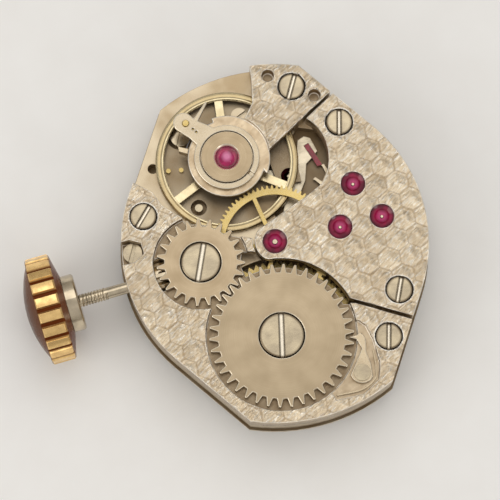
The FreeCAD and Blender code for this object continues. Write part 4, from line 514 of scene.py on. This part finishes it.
def makeThread():
    # the rolled thread on the outer end of the stem, as one helix with a triangular ridge
    group = bpy.data.node_groups.new("stemThread", "GeometryNodeTree")
    length = thread["start"] - thread["end"]
    sizes = {"Turns": length / thread["pitch"], "Length": length * mm, "Radius": thread["radius"] * mm,
             "Ridge": thread["ridge"] * mm}
    sockets = {name: group.interface.new_socket(name=name, in_out="INPUT", socket_type="NodeSocketFloat").identifier
               for name in sizes}
    group.interface.new_socket(name="Geometry", in_out="OUTPUT", socket_type="NodeSocketGeometry")
    given = group.nodes.new("NodeGroupInput").outputs
    helix = addNode(group, "CurveSpiral", named={
        "Resolution": 20, "Rotations": given["Turns"], "Height": given["Length"],
        "Start Radius": given["Radius"], "End Radius": given["Radius"]})
    ridge = addNode(group, "CurvePrimitiveCircle", named={"Resolution": 3, "Radius": given["Ridge"]})
    swept = addNode(group, "CurveToMesh", named={"Curve": helix, "Profile Curve": ridge, "Fill Caps": True})
    laid = addNode(group, "Transform", named={
        "Geometry": swept, "Translation": (thread["start"] * mm, 0, thread["level"] * mm),
        "Rotation": (0, math.radians(-90), 0)})
    real = addNode(group, "RealizeInstances", laid)
    coated = addNode(group, "SetMaterial", named={"Geometry": real, "Material": finish["steel"]})
    group.links.new(coated, group.nodes.new("NodeGroupOutput").inputs[0])
    host = bpy.data.objects.new("threadHost", bpy.data.meshes.new("threadHost"))
    bpy.context.scene.collection.objects.link(host)
    modifier = host.modifiers.new("thread", "NODES")
    modifier.node_group = group
    for name, identifier in sockets.items():
        modifier[identifier] = sizes[name]
    evaluated = host.evaluated_get(bpy.context.evaluated_depsgraph_get())
    mesh = bpy.data.meshes.new_from_object(evaluated)
    mesh.name = "stemThread"
    bpy.data.objects.remove(host)
    keepMesh("stemThread", mesh, None, "stem")


makeWellPieces()
makeThread()
print("stage: well pieces and stem thread")


# Floor, camera and light

studio = {"floorSize": 0.6, "floorDrop": 1.21, "floor": "#f4f4f4", "floorCloud": "#eeedec",
          "target": (-1.31, -0.09, 2.9), "distance": 130, "tilt": 10, "turn": 16, "pixelsPerMm": 20.26,
          "pictureWidth": 500, "sensor": 36, "sky": 0.72, "skyLow": "#b5b0a8", "skyHigh": "#fbf8f3"}


def makeFloor():
    half, level = studio["floorSize"], -studio["floorDrop"] * mm
    mesh = bpy.data.meshes.new("floor")
    corners = [(-half, -half, level), (half, -half, level), (half, half, level), (-half, half, level)]
    mesh.from_pydata(corners, [], [(0, 1, 2, 3)])
    floor = bpy.data.objects.new("floor", mesh)
    bpy.context.scene.collection.objects.link(floor)
    material, tree, shader = newMaterial("paleFloor", studio["floor"], 0.0, 0.7)
    cloud = addNode(tree, "MapRange", addNode(tree, "TexNoise", objectPoint(tree), 0.4, 3.0), 0.3, 0.7, 0.0, 0.5)
    colour = addNode(tree, "Mix", cloud, studio["floor"], studio["floorCloud"], data_type="RGBA")
    tree.links.new(colour, shader.inputs["Base Color"])
    floor.data.materials.append(material)


def makeCamera():
    # the camera looks at the target from above, tilted and turned; up in the picture is the turned y axis
    tilt, turn = math.radians(studio["tilt"]), math.radians(studio["turn"])
    back = Vector((-math.sin(turn) * math.sin(tilt), -math.cos(turn) * math.sin(tilt), math.cos(tilt)))
    right = Vector((math.sin(turn), math.cos(turn), 0)).cross(back).normalized()
    up = back.cross(right)
    camera = bpy.data.cameras.new("camera")
    camera.sensor_width = studio["sensor"]
    camera.lens = studio["pixelsPerMm"] * studio["distance"] * studio["sensor"] / studio["pictureWidth"]
    camera.clip_start = 0.005
    obj = bpy.data.objects.new("camera", camera)
    obj.matrix_world = Matrix((right, up, back)).transposed().to_4x4()
    obj.matrix_world.translation = (Vector(studio["target"]) + back * studio["distance"]) * mm
    bpy.context.scene.collection.objects.link(obj)
    bpy.context.scene.camera = obj


lamps = {
    # a broad soft box stands where the flat tops mirror it towards the camera
    "overhead": {"place": (20, 62, 140), "size": 130, "watts": 0.042, "colour": "#fffcf6"},
    "side": {"place": (-110, -20, 90), "size": 90, "watts": 0.03, "colour": "#fffaf2"},
    "low": {"place": (60, -110, 70), "size": 60, "watts": 0.02, "colour": "#fffdf8"},
}


def makeLight():
    # round lamps, each aimed at the middle of the movement, under a sky that is paler overhead
    for name, given in lamps.items():
        lamp = bpy.data.lights.new(name, "AREA")
        lamp.shape = "DISK"
        lamp.size = given["size"] * mm
        lamp.energy = given["watts"]
        lamp.color = linear(given["colour"])[:3]
        obj = bpy.data.objects.new(name, lamp)
        obj.location = Vector(given["place"]) * mm
        obj.rotation_euler = (-Vector(given["place"])).to_track_quat("-Z", "Y").to_euler()
        bpy.context.scene.collection.objects.link(obj)
    world = bpy.data.worlds.new("studio")
    world.use_nodes = True
    tree = world.node_tree
    background = tree.nodes["Background"]
    height = addNode(tree, "SeparateXYZ", addNode(tree, "TexCoord", out="Generated"), out="Z")
    sky = addNode(tree, "Mix", addNode(tree, "MapRange", height, 0.05, 0.75), studio["skyLow"], studio["skyHigh"],
                  data_type="RGBA")
    tree.links.new(sky, background.inputs["Color"])
    background.inputs["Strength"].default_value = studio["sky"]
    bpy.context.scene.world = world


makeFloor()
makeCamera()
makeLight()
bpy.context.scene.view_settings.view_transform = "Standard"
print("stage: floor, camera and light")
